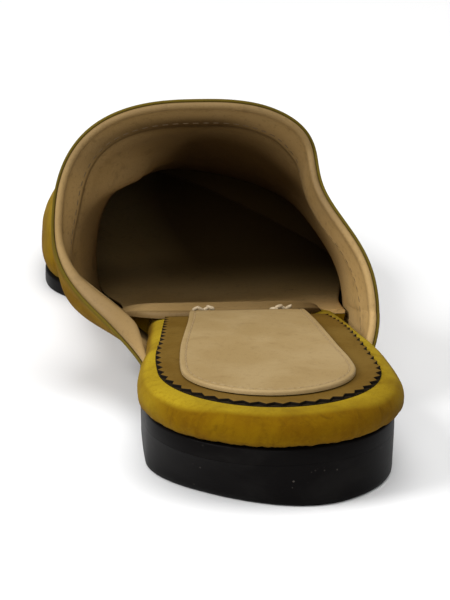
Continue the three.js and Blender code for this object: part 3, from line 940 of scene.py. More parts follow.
@dataclass(frozen=True)
class Stitch:
    """A sewn line of even stitches, in millimetres."""

    pitch: float  # step from stitch to stitch
    length: float  # length of a stitch
    radius: float  # radius of the thread
    sink: float  # how far the thread's middle lies below the surface

    RINGS = 7
    SIDES = 8
    LOOK = 0.4  # distance either way over which the path's direction is read

    def row(self, path: Array, normal: Array) -> Surface:
        """Lay stitches along a path.

        Formula: each stitch is a round bar whose radius follows a half circle over its length, turned to
        the path's direction and set on the surface's normal.

        Args:
            path: (n, 3) points on the surface.
            normal: directions away from the surface, one or as many as points.

        Returns:
            All stitches as one surface.
        """
        step = np.linalg.norm(np.diff(path, axis=0), axis=1)
        travel = np.concatenate([[0.0], np.cumsum(step)])
        at = np.arange(self.pitch, travel[-1] - self.pitch, self.pitch)

        def read(values: Array, where: Array) -> Array:
            """Read points or directions along the path."""
            return np.stack([np.interp(where, travel, values[:, k]) for k in range(3)], axis=-1)

        forward = unit(read(path, at + self.LOOK) - read(path, at - self.LOOK))
        up = unit(read(np.broadcast_to(normal, path.shape), at))
        across = unit(np.cross(forward, up))
        bow = np.linspace(0.0, math.pi, self.RINGS)
        turn = np.linspace(0.0, 2.0 * math.pi, self.SIDES, endpoint=False)
        girth = np.repeat(np.sqrt(np.maximum(np.sin(bow), 0.0)) * self.radius, self.SIDES)
        x = np.repeat(-np.cos(bow) * self.length / 2.0, self.SIDES)
        y = girth * np.tile(np.cos(turn), self.RINGS)
        z = girth * np.tile(np.sin(turn), self.RINGS) - self.sink
        points = read(path, at)[:, None]
        for size, way in ((x, forward), (y, across), (z, up)):
            points = points + size[None, :, None] * way[:, None]
        faces = grid_faces(self.RINGS, self.SIDES, True)
        faces = faces[None] + (np.arange(len(at)) * self.RINGS * self.SIDES)[:, None, None]
        return Surface(points.reshape(-1, 3), faces.reshape(-1, 4))


@dataclass
class Outsole:
    """Thin full-length black sole."""

    last: Last
    ease: float = 0.6  # rounding of its two edges
    stations: int = 150  # points along each side
    tip_stations: int = 40  # points round each end
    heel_fade: tuple[float, float] = (54.0, 64.0)  # y over which the rounding starts

    EDGE = ((-1.0, 0.0), (-0.3, 0.3), (0.0, 1.0))  # offset and rise of the rows that round the lower edge
    SHARES = (0.0, 0.35, 0.7)  # rows between the spine and the edge

    def loop(self) -> Loop:
        """Outline of the sole: half widths closed by quarter circles at the heel and the toe.

        Returns:
            The closed outline.
        """
        last = self.last
        tip = 1.0 - np.cos(np.linspace(0.0, QUARTER, self.tip_stations))
        back = last.heel_round * tip
        front = last.length - last.toe_round * tip[::-1]
        y = np.concatenate([back, np.linspace(back[-1], front[0], self.stations)[1:-1], front])
        half = SOLE_OUTLINE.column("half", y)
        half = half * round_end(y, last.heel_round) * round_end(last.length - y, last.toe_round)
        return Loop.from_sides(y, SOLE_OUTLINE.column("centre", y), half, True)

    def surface(self) -> Surface:
        """Skin of the sole: the outline carried up an eased edge, closed to its spine on both faces.

        Returns:
            The closed skin.
        """
        loop = self.loop()
        spine, inside = loop.spine(), loop.moved(-self.ease)
        eased = self.ease * smoothstep(loop.points[:, 1], *self.heel_fade)
        low = [(between(spine, inside, share), 0.0) for share in self.SHARES]
        low += [(loop.moved(offset * eased), rise * self.ease) for offset, rise in self.EDGE]
        high = [(loop.moved(offset * self.ease), -rise * self.ease) for offset, rise in self.EDGE[::-1]]
        high += [(between(spine, inside, share), 0.0) for share in self.SHARES[::-1]]
        rows = [with_height(plan, self.last.sole_bottom(plan[:, 1]) + rise) for plan, rise in low]
        rows += [with_height(plan, self.last.sole_top(plan[:, 1]) + rise) for plan, rise in high]
        return stack_rows(rows, {})

    def build(self, shop: Workshop) -> None:
        """Make the sole."""
        shop.piece("outsole_rubber", self.surface(), Finish.RUBBER, "outsole")


@dataclass
class HeelBlock:
    """Low black block under the back of the sole."""

    last: Last
    breast: float = 58.0  # y of its front face
    top: float = 10.95  # height of its top, just under the sole
    undercut_inner: float = 7.0  # how far its back slopes in on the inner side
    undercut_outer: float = 0.2  # the same on the outer side

    STATIONS = (60, 26)
    LOW_HEIGHTS = (0.0, 0.1, 0.25, 0.5)
    SIDE_START = 0.8
    SIDE_ROWS = 12
    SLOPE_ACROSS = (-22.0, 14.0)  # x over which the undercut changes from the inner to the outer one
    SLOPE_ALONG = (6.0, 50.0)  # y over which it ends

    def sloped(self, plan: Array, height: float) -> Array:
        """Move a row in at the back: most at the floor and on the inner side, nothing along the sides.

        Args:
            plan: points of the row in plan.
            height: its height over the floor.

        Returns:
            The row's points.
        """
        x, y = plan.T
        reach = between(self.undercut_inner, self.undercut_outer, smoothstep(x, *self.SLOPE_ACROSS))
        reach = reach * fall(y, *self.SLOPE_ALONG) * (1.0 - height / self.top)
        return with_height(np.stack([x, y + reach], axis=-1), height)

    def surface(self) -> Surface:
        """Skin of the block: the outline offset by a profile of height and sloped at the back.

        Returns:
            The closed skin.
        """
        loop = Loop.rounded(SOLE_OUTLINE, 0.0, self.last.heel_round, self.breast, self.STATIONS)
        heights = np.concatenate([self.LOW_HEIGHTS, np.linspace(self.SIDE_START, self.top, self.SIDE_ROWS)])
        offsets = HEEL_SIDE.column("offset", heights)
        rows = [self.sloped(between(loop.spine(), loop.moved(offsets[0]), s), 0.0) for s in (0.0, 0.5)]
        rows += [self.sloped(loop.moved(o), float(z)) for o, z in zip(offsets, heights)]
        rows += [self.sloped(between(loop.spine(), loop.points, s), self.top) for s in (0.5, 0.0)]
        return stack_rows(rows, {})

    def build(self, shop: Workshop) -> None:
        """Make the heel."""
        shop.piece("heel_block", self.surface(), Finish.RUBBER, "heel")


@dataclass
class Footbed:
    """Padded half insole wrapped in suede, in the open behind the vamp."""

    last: Last
    front: float = 109.0  # y of its front end
    levels: int = 26  # rows up its side
    crowding: float = 1.25  # how much closer the rows lie near the top

    STATIONS = (90, 70)
    PUCKER = ((9.3, 0.10, 0.4), (5.1, 0.07, 1.7), (23.0, 0.16, 2.6), (3.1, 0.04, 0.9))
    PUCKER_RISE = (0.05, 0.75)
    RAGGED = ((2.3, 0.13, 0.2), (3.7, 0.12, 1.1), (6.9, 0.14, 2.9), (1.4, 0.07, 0.6))
    RAGGED_RISE = (0.0, 0.16)
    BOTTOM_SHARES = (0.0, 0.6)
    TOP_SHARES = (0.94, 0.86, 0.75, 0.6, 0.4, 0.2, 0.0)
    WIDE_ALONG = (45.0, 80.0)  # y over which the painted highlight on top grows wider
    WIDE_ACROSS = (13.0, 25.0)
    NARROW_TOP = (0.93, 1.0)  # shares of the height where the painted highlight on top starts and is full
    WIDE_TOP = (0.76, 0.95)
    OUTER_ACROSS = (14.0, 31.0)  # where the outer back gets painted shade and less painted highlight
    OUTER_ALONG = (20.0, 45.0)
    OUTER_DULL = 0.5
    SIDE_ACROSS = (25.5, 31.0)  # where the sides get a painted highlight
    SIDE_ALONG = (60.0, 90.0)
    SIDE_RISE = (0.15, 0.6)
    SIDE_HIGHLIGHT = 0.45
    BACK_ALONG = (4.0, 16.0)  # where the back end gets less painted highlight, more so towards the outer side
    BACK_ACROSS = (-14.0, 4.0)
    BACK_DULL = (0.25, 0.55)
    FOOT_RISE = (0.0, 0.22)  # where the foot of the side gets painted shade
    # share by which the painted shade at the outer back fades towards the top, and over which heights
    SHADE_LIFT_RISE = (0.4, 0.85)
    SHADE_LIFT = 0.75

    def painted_light(self, plan: Array, share: float) -> tuple[Array, Array]:
        """Painted light on the suede: a painted highlight on top and at the sides, painted shade low down
        and at the outer back.

        Args:
            plan: points of a row in plan.
            share: share of the pad's height.

        Returns:
            How much painted highlight and how much painted shade each point gets.
        """
        x, y = plan.T
        wide = np.maximum(smoothstep(y, *self.WIDE_ALONG), smoothstep(np.abs(x), *self.WIDE_ACROSS))
        start, full = (between(*ends, wide) for ends in zip(self.NARROW_TOP, self.WIDE_TOP))
        outer = smoothstep(x, *self.OUTER_ACROSS) * fall(y, *self.OUTER_ALONG)
        sides = smoothstep(np.abs(x), *self.SIDE_ACROSS) * fall(y, *self.SIDE_ALONG)
        sides = self.SIDE_HIGHLIGHT * sides * smoothstep(share, *self.SIDE_RISE)
        back = fall(y, *self.BACK_ALONG) * between(*self.BACK_DULL, smoothstep(x, *self.BACK_ACROSS))
        dull = np.maximum(self.OUTER_DULL * outer, back)
        pale = np.maximum(smoothstep(share, start, full) * (1.0 - dull), sides)
        outer_shade = outer * (1.0 - self.SHADE_LIFT * smoothstep(share, *self.SHADE_LIFT_RISE))
        return pale, np.maximum(fall(share, *self.FOOT_RISE), outer_shade)

    def surface(self) -> Surface:
        """Skin of the pad: a bulging side profile round the outline, puckered low down, flat on top.

        Returns:
            The closed skin.
        """
        back = self.last.footbed_back
        loop = Loop.rounded(FOOTBED_OUTLINE, back, self.last.heel_round, self.front, self.STATIONS)
        spine, travel = loop.spine(), loop.travel()
        rise = 1.0 - (1.0 - np.linspace(0.0, 1.0, self.levels)) ** self.crowding
        offsets = FOOTBED_SIDE.column("offset", rise)
        pucker, ragged = wobble(travel, self.PUCKER), wobble(travel, self.RAGGED)
        plans = [(between(spine, loop.moved(offsets[0]), share), 0.0) for share in self.BOTTOM_SHARES]
        for level, offset in zip(rise.tolist(), offsets):
            ripple = pucker * fall(level, *self.PUCKER_RISE) + ragged * fall(level, *self.RAGGED_RISE)
            plans.append((loop.moved(offset + ripple), level))
        plans += [(between(spine, loop.moved(offsets[-1]), share), 1.0) for share in self.TOP_SHARES]
        bottom, height = self.last.footbed_bottom, self.last.footbed_height
        rows = [with_height(plan, bottom(plan[:, 1]) + share * height) for plan, share in plans]
        # painted highlight and painted shade for the suede
        top, painted_shade = zip(*[self.painted_light(plan, share) for plan, share in plans])
        return stack_rows(rows, {"top": top, "painted_shade": painted_shade})

    def build(self, shop: Workshop) -> None:
        """Make the pad."""
        made = shop.piece("footbed_wrap", self.surface(), Finish.SUEDE, "footbed")


@dataclass
class Insole:
    """Thin lined insole inside the vamp, ahead of the footbed."""

    last: Last
    start: float = 109.3  # y of its back end
    end: float = 258.6  # y of its toe end
    inset: float = 3.4  # how far its underside sits in from the sole's edge
    thickness: float = 3.5
    rear_rise: float = 4.4  # how much thicker it is at the back
    ball: float = 188.0  # where the extra thickness ends
    lip_back: float = 94.0  # y of the lining's back end, which laps over the footbed
    lip_lap: float = 4.5  # how far that end reaches past the insole's back
    lip_middle: float = -3.7  # x of its middle
    lip_half: float = 25.8  # half its width
    lip_rise: float = 1.8  # its thickness at the back
    lip_lean: float = 0.4  # share by which it is thicker at its front
    lip_round: float = 1.4  # rounding of its back edge
    lip_taper: float = 9.0  # distance over which it closes at either side
    lip_sweep: float = 12.0  # how far its back edge curves forward at the sides
    lip_lift: float = 0.12  # height of its underside over the footbed

    STATIONS = (40, 80)
    CORE = ((0, 0, 0), (0.6, 0, 0), (1, 0, 0), (1, 0.84, 0), (0.6, 0.84, 0), (0, 0.84, 0))
    SHEET = (
        (0, 0.86, 0), (0.6, 0.86, 0), (1, 0.86, 0), (1, 0.95, 0), (1, 0.99, -0.25), (1, 1, -0.7),
        (0.9, 1, -0.7), (0.6, 1, -0.7), (0.3, 1, -0.7), (0, 1, -0.7),
    )
    INSIDE_SHADE = (22.0, 78.0)  # distances from the back end over which painted shade darkens it, deeper inside the vamp
    INSIDE_SHADE_DARK = 0.95
    PALE_ACROSS = (4.0, 28.0)  # where it gets less painted shade, towards the inner side of the toe
    PALE_ALONG = (160.0, 205.0)
    PALE = 0.8
    LIP_ROWS = 60
    LIP_STEPS = 48
    LIP_CROWDING = 1.6  # how much closer the steps lie at the back edge
    LIP_BEND = 6  # power of the curve of the back edge
    LIP_CREST = 0.7  # share of its depth where it is thickest
    LIP_THINNING = 0.95
    # painted shade on the lip
    LIP_SHADE = 0.9
    LIP_PALER = ((0.26, 0.03, 0.2), (0.2, 0.4, 0.9))  # how much less painted shade, and over which shares of its depth
    LIP_TILT = 0.1  # how much more painted shade at the outer end
    LIP_INNER = (0.08, 0.8)  # how much less painted shade towards the inner end, and where that is full

    def height(self, y: Array) -> Array:
        """Thickness at a station."""
        return self.thickness + self.rear_rise * fall(y, self.start, self.ball)

    def surface(self, profile: tuple[tuple[float, float, float], ...]) -> Surface:
        """Skin of a layer of the insole.

        Formula: the sole's outline set in, thicker towards the back, its sides leaning out with height.

        Args:
            profile: (share of the way out from the spine, share of the height, offset) for each row.

        Returns:
            The closed skin.
        """
        last = self.last
        loop = Loop.rounded(SOLE_OUTLINE, self.end, last.toe_round, self.start, self.STATIONS, self.inset)
        x, y = loop.points.T
        outer = x > SOLE_OUTLINE.column("centre", y)
        lean = np.where(outer, INSOLE_LEAN.column("outer", y), -INSOLE_LEAN.column("inner", y))
        lean = lean * self.height(y) * round_end(self.end - y, last.toe_round)
        lean = np.stack([lean, np.zeros_like(y)], axis=-1)
        rows, painted_shade = [], []
        for share, rise, offset in profile:
            plan = between(loop.spine(), loop.moved(offset) + lean * rise, share)
            x, y = plan.T
            rows.append(with_height(plan, last.sole_top(y) + last.gap + self.height(y) * rise))
            # painted shade that deepens inside the vamp, less towards the inner side of the toe
            pale = self.PALE * smoothstep(-x, *self.PALE_ACROSS) * smoothstep(y, *self.PALE_ALONG)
            painted_shade.append(self.INSIDE_SHADE_DARK * smoothstep(y - self.start, *self.INSIDE_SHADE) * (1.0 - pale))
        return stack_rows(rows, {"edge_mm": [FAR_FROM_EDGE] * len(rows), "painted_shade": painted_shade})

    def lip(self) -> Surface:
        """Back end of the lining, lapped over the footbed's front.

        Formula: a thin slab swept across the shoe; its back edge curves forward at the sides, its top is a
        quarter circle there and thins out at the front, and its thickness closes to nothing at both sides.

        Returns:
            The closed slab, with its painted shade.
        """
        share = np.linspace(0.0, 1.0, self.LIP_STEPS) ** self.LIP_CROWDING
        y = between(self.lip_back, self.start + self.lip_lap, share)
        full = self.lip_rise * round_end(y - self.lip_back, self.lip_round)
        full = full * (1.0 - self.LIP_THINNING * smoothstep(share, self.LIP_CREST, 1.0))
        full = full * (1.0 + self.lip_lean * smoothstep(share, 0.0, self.LIP_CREST))
        # painted shade over the lip's depth
        wear_and_shade = self.LIP_SHADE - sum(much * smoothstep(share, *where) for much, *where in self.LIP_PALER)
        rows, painted_shade = [], []
        for across in np.sin(np.linspace(-QUARTER, QUARTER, self.LIP_ROWS)):
            x = np.full_like(y, self.lip_middle + across * self.lip_half)
            swept = y + self.lip_sweep * across**self.LIP_BEND * (1.0 - share)
            base = self.last.footbed_top(swept) + self.lip_lift
            thick = full * round_end(self.lip_half * (1.0 - abs(across)), self.lip_taper)
            top, bottom = (np.stack([x, swept, z], axis=-1) for z in (base + thick, base))
            rows.append(np.concatenate([top, bottom[::-1]]))
            paler = self.LIP_INNER[0] * smoothstep(-across, 0.0, self.LIP_INNER[1])
            dark = np.clip(wear_and_shade + self.LIP_TILT * across - paler, 0.0, 1.0)
            painted_shade.append(np.concatenate([dark, dark[::-1]]))
        return stack_rows(rows, {"edge_mm": [FAR_FROM_EDGE] * len(rows), "painted_shade": painted_shade})

    def build(self, shop: Workshop) -> None:
        """Make the wrapped core, the lining on top and its lapped end.

        Args:
            shop: makes the pieces.
        """
        shop.piece("insole_core", self.surface(self.CORE), Finish.SUEDE, "insole")
        shop.piece("insole_lining", self.surface(self.SHEET), Finish.LINING, "insole")
        shop.piece("insole_lip", self.lip(), Finish.LINING, "insole")


@dataclass
class Sock:
    """Leather sock on the footbed: a pinked brown layer and a smooth tan pad."""

    last: Last
    front: float = 93.0  # y of its front end
    border_back: float = 6.4  # y of the brown layer's back end
    border_round: float = 29.0  # length of its round end
    pad_back: float = 11.4  # y of the pad's back end
    pad_round: float = 19.8  # length of its round end
    border_thickness: float = 0.9
    pad_thickness: float = 1.1
    layer_gap: float = 0.2  # room between the layers
    tooth_pitch: float = 3.9  # step of the pinked edge
    tooth_depth: float = 1.35  # depth of its notches
    tooth_root: float = 0.5  # room between the notches and the smooth outline inside
    groove: float = 1.5  # distance of the sewn line from the pad's edge
    groove_depth: float = 0.06
    groove_half: float = 0.22
    edge_out: float = 0.05  # how far the dark layer under the teeth stands out past them
    edge_lift: float = 0.02  # height of its underside over the footbed
    border_lift: float = 0.05  # the same for the brown layer
    shade: float = 0.6  # how dark the painted shade at the front end is
    shade_reach: float = 2.5  # length over which the painted shade darkens it
    sewn_sink: float = 0.1  # how far the sewn line lies below the pad's top
    end_half: float = 3.6  # half the length of a loose thread end
    end_ahead: float = 1.2  # how far the ends lie ahead of the pad
    end_lift: float = 1.0  # how high they lie over the pad's underside

    STATIONS = (120, 90)
    TOOTH_STEPS = 8
    EDGE_STEPS = ((0.0, 0.0), (0.0, 0.12), (0.05, 0.17))  # distance in from the edge, height
    BORDER_STEPS = ((0.0, 0.0), (0.0, 0.75), (0.05, 0.93), (0.15, 1.0))  # heights as shares
    PAD_STEPS = ((0.0, 0.0), (0.0, 0.45), (0.08, 0.72), (0.25, 0.92), (0.42, 0.99))
    PAD_OVER = (0.6, 0.9, 1.1, 1.25, 1.4, 1.5, 1.6, 1.75, 1.9, 2.2, 2.8, 4.0)
    EDGE_INNER = (0.9, 0.5, 0.0)  # shares of the way out from the spine
    BORDER_INNER = (1.0, 0.93, 0.8, 0.5, 0.0)
    PAD_INNER = (1.0, 0.82, 0.68, 0.5, 0.25, 0.0)
    PAD_INSIDE = 4.6  # distance from the pad's edge where those shares start
    NEAR_EDGE = 0.9  # least share that still counts as near the edge
    MIDDLE_EDGE = 10.0  # distance from the edge that the rows in the middle carry
    SEWN = Stitch(pitch=2.4, length=2.0, radius=0.2, sink=0.02)
    LOOSE_END = Stitch(pitch=1.5, length=2.3, radius=0.55, sink=-0.3)
    END_MIDDLES = {"outer": 10.6, "inner": -9.4}
    END_POINTS = 25
    END_SWAY = (0.5, 1.3)  # size and turns of its curve along the shoe
    END_BOB = (0.3, 2.1)  # the same upwards

    def border_loop(self) -> Loop:
        """Outline through the points of the brown layer's teeth."""
        return Loop.rounded(BORDER_OUTLINE, self.border_back, self.border_round, self.front, self.STATIONS)

    def plate(
        self, loop: Loop, steps: Sequence[tuple[float, float]], lift: float, inner: Sequence[float],
        core: Loop
    ) -> Surface:
        """Skin of a thin layer on the footbed.

        Args:
            loop: its outline.
            steps: (distance in from the edge, height) up its edge and over its top.
            lift: height of its underside over the footbed.
            inner: shares of the way out from the spine that close its top and bottom.
            core: smooth outline just inside, with as many points, that the inner rows follow.

        Returns:
            The skin, with the distance from the edge and the painted shade towards its front end at each
            point.
        """
        reach, high = steps[-1]
        spine = core.spine()
        layers = [(between(spine, core.points, share), 0.0, 0.0) for share in inner[::-1]]
        layers += [(loop.moved(-away), height, away) for away, height in steps]
        for share in inner:
            away = self.MIDDLE_EDGE if share < self.NEAR_EDGE else reach + 1.0
            layers.append((between(spine, core.points, share), high, away))
        rows = [with_height(p, self.last.footbed_top(p[:, 1]) + lift + height) for p, height, _ in layers]
        # painted shade towards the front end
        dark_from = self.front - self.shade_reach
        painted_shade = [self.shade * smoothstep(row[:, 1], dark_from, self.front) for row in rows]
        return stack_rows(rows, {"edge_mm": [away for _, _, away in layers], "painted_shade": painted_shade})

    def pinked(self) -> tuple[Loop, Loop]:
        """Outline of the brown layer, a zigzag of even teeth, and a smooth one inside the teeth.

        Returns:
            Both outlines.
        """
        smooth = self.border_loop()
        count = round(smooth.travel()[-1] / self.tooth_pitch) * self.TOOTH_STEPS + 1
        even = smooth.resampled(count)
        phase = np.arange(count) / self.TOOTH_STEPS
        notch = self.tooth_depth * (1.0 - np.abs(2.0 * (phase % 1.0) - 1.0))
        return Loop(even.moved(-notch)), Loop(even.moved(-self.tooth_depth - self.tooth_root))

    def border(self, shop: Workshop) -> None:
        """Make the pinked layer and the dark layer under it that shows between its teeth.

        Args:
            shop: makes the pieces.
        """
        smooth = Loop(self.border_loop().moved(self.edge_out))
        edge = self.plate(smooth, self.EDGE_STEPS, self.edge_lift, self.EDGE_INNER, smooth)
        shop.piece("sock_edge", edge, Finish.DARK_UNDERLAY, "sock_border")
        steps = [(away, self.border_thickness * share) for away, share in self.BORDER_STEPS]
        teeth, inside = self.pinked()
        border = self.plate(teeth, steps, self.border_lift, self.BORDER_INNER, inside)
        shop.piece("sock_border_leather", border, Finish.BORDER, "sock_border")

    def pad(self, shop: Workshop) -> None:
        """Make the pad with its pressed groove, the sewn line in it and the two thread ends at its front.

        Args:
            shop: makes the pieces.
        """
        thick = self.pad_thickness
        over = np.array(self.PAD_OVER)
        pressed = thick - self.groove_depth * bell(over - self.groove, self.groove_half)
        steps = [(away, thick * share) for away, share in self.PAD_STEPS]
        steps += zip(over.tolist(), pressed.tolist())
        lift = self.layer_gap * 2.0 + self.border_thickness
        loop = Loop.rounded(PAD_OUTLINE, self.pad_back, self.pad_round, self.front, self.STATIONS)
        inside = Loop(loop.moved(-self.PAD_INSIDE))
        pad = self.plate(loop, steps, lift, self.PAD_INNER, inside)
        shop.piece("sock_pad_leather", pad, Finish.PAD, "sock_pad")
        plan = loop.moved(-self.groove)
        path = with_height(plan, self.last.footbed_top(plan[:, 1]) + lift + thick - self.sewn_sink)
        shop.piece("sock_pad_stitches", self.SEWN.row(path, UP), Finish.PAD_THREAD, "sock_pad")
        for name, middle in self.END_MIDDLES.items():
            x = middle + np.linspace(-self.end_half, self.end_half, self.END_POINTS)
            sway, bob = (size * np.sin(x * turns) for size, turns in (self.END_SWAY, self.END_BOB))
            y = self.front + self.end_ahead + sway
            z = self.last.footbed_top(y) + lift + self.end_lift + bob
            end = self.LOOSE_END.row(np.stack([x, y, z], axis=-1), UP)
            shop.piece(f"sock_thread_end_{name}", end, Finish.PALE_THREAD, "sock_pad")

    def build(self, shop: Workshop) -> None:
        """Make both layers."""
        self.border(shop)
        self.pad(shop)


@dataclass
class Vamp:
    """Suede upper with a leather lining, closed at the toe and open at the back."""

    last: Last
    suede: float = 0.8  # thickness of the suede
    wall: float = 2.2  # thickness of suede and lining together
    between_layers: float = 0.06  # room between the two
    recess: float = 0.15  # how far the lining's edge sits back from the suede's
    facing: float = 8.0  # width of the lining's stitched edge band
    facing_thickness: float = 0.6  # how much the band stands out
    facing_fade: tuple[float, float] = (-0.4, 0.5)  # where its step starts and ends, from that width
    seam: float = 1.3  # distance of the stitches from the band's inner edge
    columns: int = 221  # points round the vamp
    edge_rows: int = 44  # rows in the edge zone
    body_rows: int = 46  # rows over the rest

    EDGE_SHARE = 0.16  # share of the length that the edge zone takes
    AROUND_STEP = 0.002  # steps over which the form's slope is read
    ALONG_STEP = 0.2
    RIM_STEPS = 8
    RIM_REACH = 1.2  # how far the rim's curve reaches backwards at most
    CUT = (0.1, 1.2)  # distances from the topline over which the cut edge's tone fades
    STITCH = Stitch(pitch=2.6, length=1.9, radius=0.22, sink=0.13)
    STITCHED = slice(3, -3)  # columns that the stitches run over
    FOOT_FADE = (0.0, 0.1)  # shares of the way round over which creases start, from the sole's edges
    DOWNWARDS = -0.999  # height of a normal that has turned over at the toe
    UP_HIGHLIGHT = 0.62  # strength of the painted highlight where the suede faces up
    UP_FADE = (-0.3, 0.9)  # heights of the normal over which the painted highlight comes in
    CREASES = (
        Crease((118.0, 0.74), (136.0, 0.60), 7.0, 0.8, 0.4),
        Crease((108.0, 0.24), (126.0, 0.30), 5.0, -0.8),
        Crease((176.0, 0.30), (180.0, 0.66), 6.0, 0.5),
        Crease((186.0, 0.34), (189.0, 0.62), 5.0, 0.35),
    )
    TUCK = Crease((108.0, 0.85), (150.0, 0.49), 5.6, 3.3, 0.5)
    # painted shade of the lining: for each share of the way round, its strength at the rim, on the face and
    # deep inside, the distance where the deep shade starts and the distance over which it comes in
    SHADE_TABLE = Table(("around", "rim", "face", "deep", "fold", "blur"), (
        (0, 0, 0, 0.1, 20, 20), (0.06, 0.25, 0, 0.1, 18, 20), (0.16, 0.25, 0, 0.2, 16, 20),
        (0.22, 0.45, 0.4, 0.6, 14, 18), (0.26, 0.7, 0.7, 0.8, 12, 14), (0.33, 0.6, 0.75, 1, 10, 12),
        (0.42, 0.66, 0.86, 1, 10, 12), (0.5, 0.7, 0.92, 1, 14, 14), (0.57, 0.7, 0.84, 0.9, 30, 16),
        (0.64, 0.68, 0.7, 0.72, 32, 16), (0.7, 0.66, 0.6, 0.62, 26, 16), (0.75, 0.5, 0.54, 0.62, 20, 16),
        (0.8, 0.48, 0.62, 0.66, 10, 18), (0.86, 0.5, 0.55, 0.75, 12, 18), (0.9, 0.62, 0.5, 0.8, 12, 18),
        (0.95, 0.62, 0.4, 0.8, 12, 20), (1, 0.4, 0.2, 0.5, 8, 20),
    ))
    LOOSE = Table(("around", "swell"), (
        (0, 0), (0.82, 0), (0.88, 1), (0.92, 2.6), (0.95, 3), (0.968, 1.5), (0.985, 0.1), (1, 0),
    ))
    LOOSE_FADE = (3.0, 12.0)  # distances from the topline over which the loose edge ends
    FACE_FADE = (3.5, 9.0)  # distances over which the rim's painted shade turns into the face's
    SHADOW = (0.18, 6.5, 2.2)  # strength, distance from the topline and half width of a painted shadow line
    SHADOW_AT = 0.57  # share of the way round at its middle
    SHADOW_FADE = (0.08, 0.18)
    INSIDE_FADE = (35.0, 80.0)  # distances over which painted shade darkens the deep inside
    INSIDE_DARK = 0.95

    def sheet_grid(self, start: float) -> tuple[Array, Array]:
        """Parameters of a sheet that starts a little inside the topline.

        Formula: rows at even steps through the edge zone, then at steps that shorten towards the toe
        as a sine does.

        Args:
            start: distance from the topline, along the shoe.

        Returns:
            The along and around values, row by row from the edge to the toe.
        """
        near = np.linspace(0.0, self.EDGE_SHARE, self.edge_rows)
        turn = np.linspace(0.0, QUARTER, self.body_rows + 1)[1:]
        share = np.concatenate([near, between(self.EDGE_SHARE, 1.0, np.sin(turn))])
        around = np.linspace(0.0, 1.0, self.columns)
        first = TOPLINE.column("along", around) + start
        along = first[None] + (self.last.upper_end - first[None]) * share[:, None]
        return along, np.broadcast_to(around, along.shape)

    def outside(self, along: Array, around: Array) -> Array:
        """Outside of the vamp: the last's form, pressed in behind its flared edge and in its creases.

        Args:
            along: millimetres from the back of the heel.
            around: share of the way round the vamp.

        Returns:
            Points, one for each pair.
        """
        form = self.last.upper_point
        right = form(along, np.minimum(around + self.AROUND_STEP, 1.0))
        left = form(along, np.maximum(around - self.AROUND_STEP, 0.0))
        ahead = form(along + self.ALONG_STEP, around) - form(along - self.ALONG_STEP, around)
        normal = unit(np.cross(ahead, right - left))
        normal = normal * np.where(normal[..., 2:] < self.DOWNWARDS, -1.0, 1.0)
        press = self.last.flare_dip(along, around)
        for crease in self.CREASES:
            press = press + crease.press(along, around)
        press = press * round_end(self.last.upper_end - along, self.last.toe_round)
        press = press * smoothstep(np.minimum(around, 1.0 - around), *self.FOOT_FADE)
        return form(along, around) - normal * press[..., None]

    @staticmethod
    def normals(points: Array) -> Array:
        """Unit normals of a grid: across its rows times along its rows, level at the sole's edge.

        Args:
            points: the grid.

        Returns:
            Directions, one for each point.
        """
        normal = np.cross(np.gradient(points, axis=0), np.gradient(points, axis=1))
        normal[-1] = (0.0, 1.0, 0.0)
        normal[:, [0, -1], 2] = 0.0
        return unit(normal)

    @staticmethod
    def edge_distance(points: Array) -> Array:
        """Distance of each grid point from the nearest point of the first row, worked out row by row."""
        return np.stack([np.linalg.norm(row[:, None] - points[0], axis=-1).min(axis=1) for row in points])

    def sheet(self, outer: float, inner: Array, points: Array, edge: Array, painted_shade: Array) -> Surface:
        """A sheet of the vamp with a round rim at the topline.

        Formula: the outside grid moved in along its normals by two depths; half circles join the two
        along the topline, and straight strips along the sole's edges.

        Args:
            outer: depth of its outer face below the vamp's outside.
            inner: depth of its inner face at each grid point.
            points: the outside grid.
            edge: distance from the topline at each grid point.
            painted_shade: painted shade at each grid point.

        Returns:
            The closed sheet, with the distance from the topline, its cut edge, the painted shade and the
            painted highlight where it faces up at each point.
        """
        normal = self.normals(points)
        face = points - normal * outer
        back = points - normal * inner[..., None]
        along_edge = unit(np.gradient(points[0], axis=0))
        behind = points[0] - points[1]
        behind = unit(behind - along_edge * np.sum(behind * along_edge, axis=-1, keepdims=True))
        turn = np.linspace(0.0, math.pi, self.RIM_STEPS + 2)[1:-1, None]
        radius = (inner[0] - outer) / 2.0
        rim = (face[0] + back[0]) / 2.0 + (radius * np.cos(turn))[..., None] * normal[0]
        rim = rim + (np.minimum(radius, self.RIM_REACH) * np.sin(turn))[..., None] * behind
        grid = np.concatenate([face[::-1], rim, back])
        rows, columns = grid.shape[:2]
        low = np.arange(rows // 2 - 1)
        high = rows - 1 - low
        strip = np.stack([low, low + 1, high - 1, high], axis=-1) * columns
        tip = np.stack([np.arange(columns - 1), np.arange(1, columns)], axis=-1)
        tip = np.concatenate([tip[:, ::-1], tip + (rows - 1) * columns], axis=-1)
        faces = [grid_faces(rows, columns, False), strip[:, ::-1], strip + columns - 1, tip]

        def over(values: Array, rim: Array | float) -> Array:
            """Spread values of the grid over both faces, with those of the rim in between."""
            middle = np.broadcast_to(rim, (self.RIM_STEPS, columns))
            return np.concatenate([values[::-1], middle, values]).reshape(-1)

        values = {"edge_mm": over(edge, 0.0), "painted_shade": over(painted_shade, painted_shade[0])}
        values["cut"] = fall(values["edge_mm"], *self.CUT)
        # painted highlight where the outside faces up, none on the rim
        values["top"] = over(self.UP_HIGHLIGHT * smoothstep(normal[..., 2], *self.UP_FADE), 0.0)
        return Surface(grid.reshape(-1, 3), np.concatenate(faces), values)

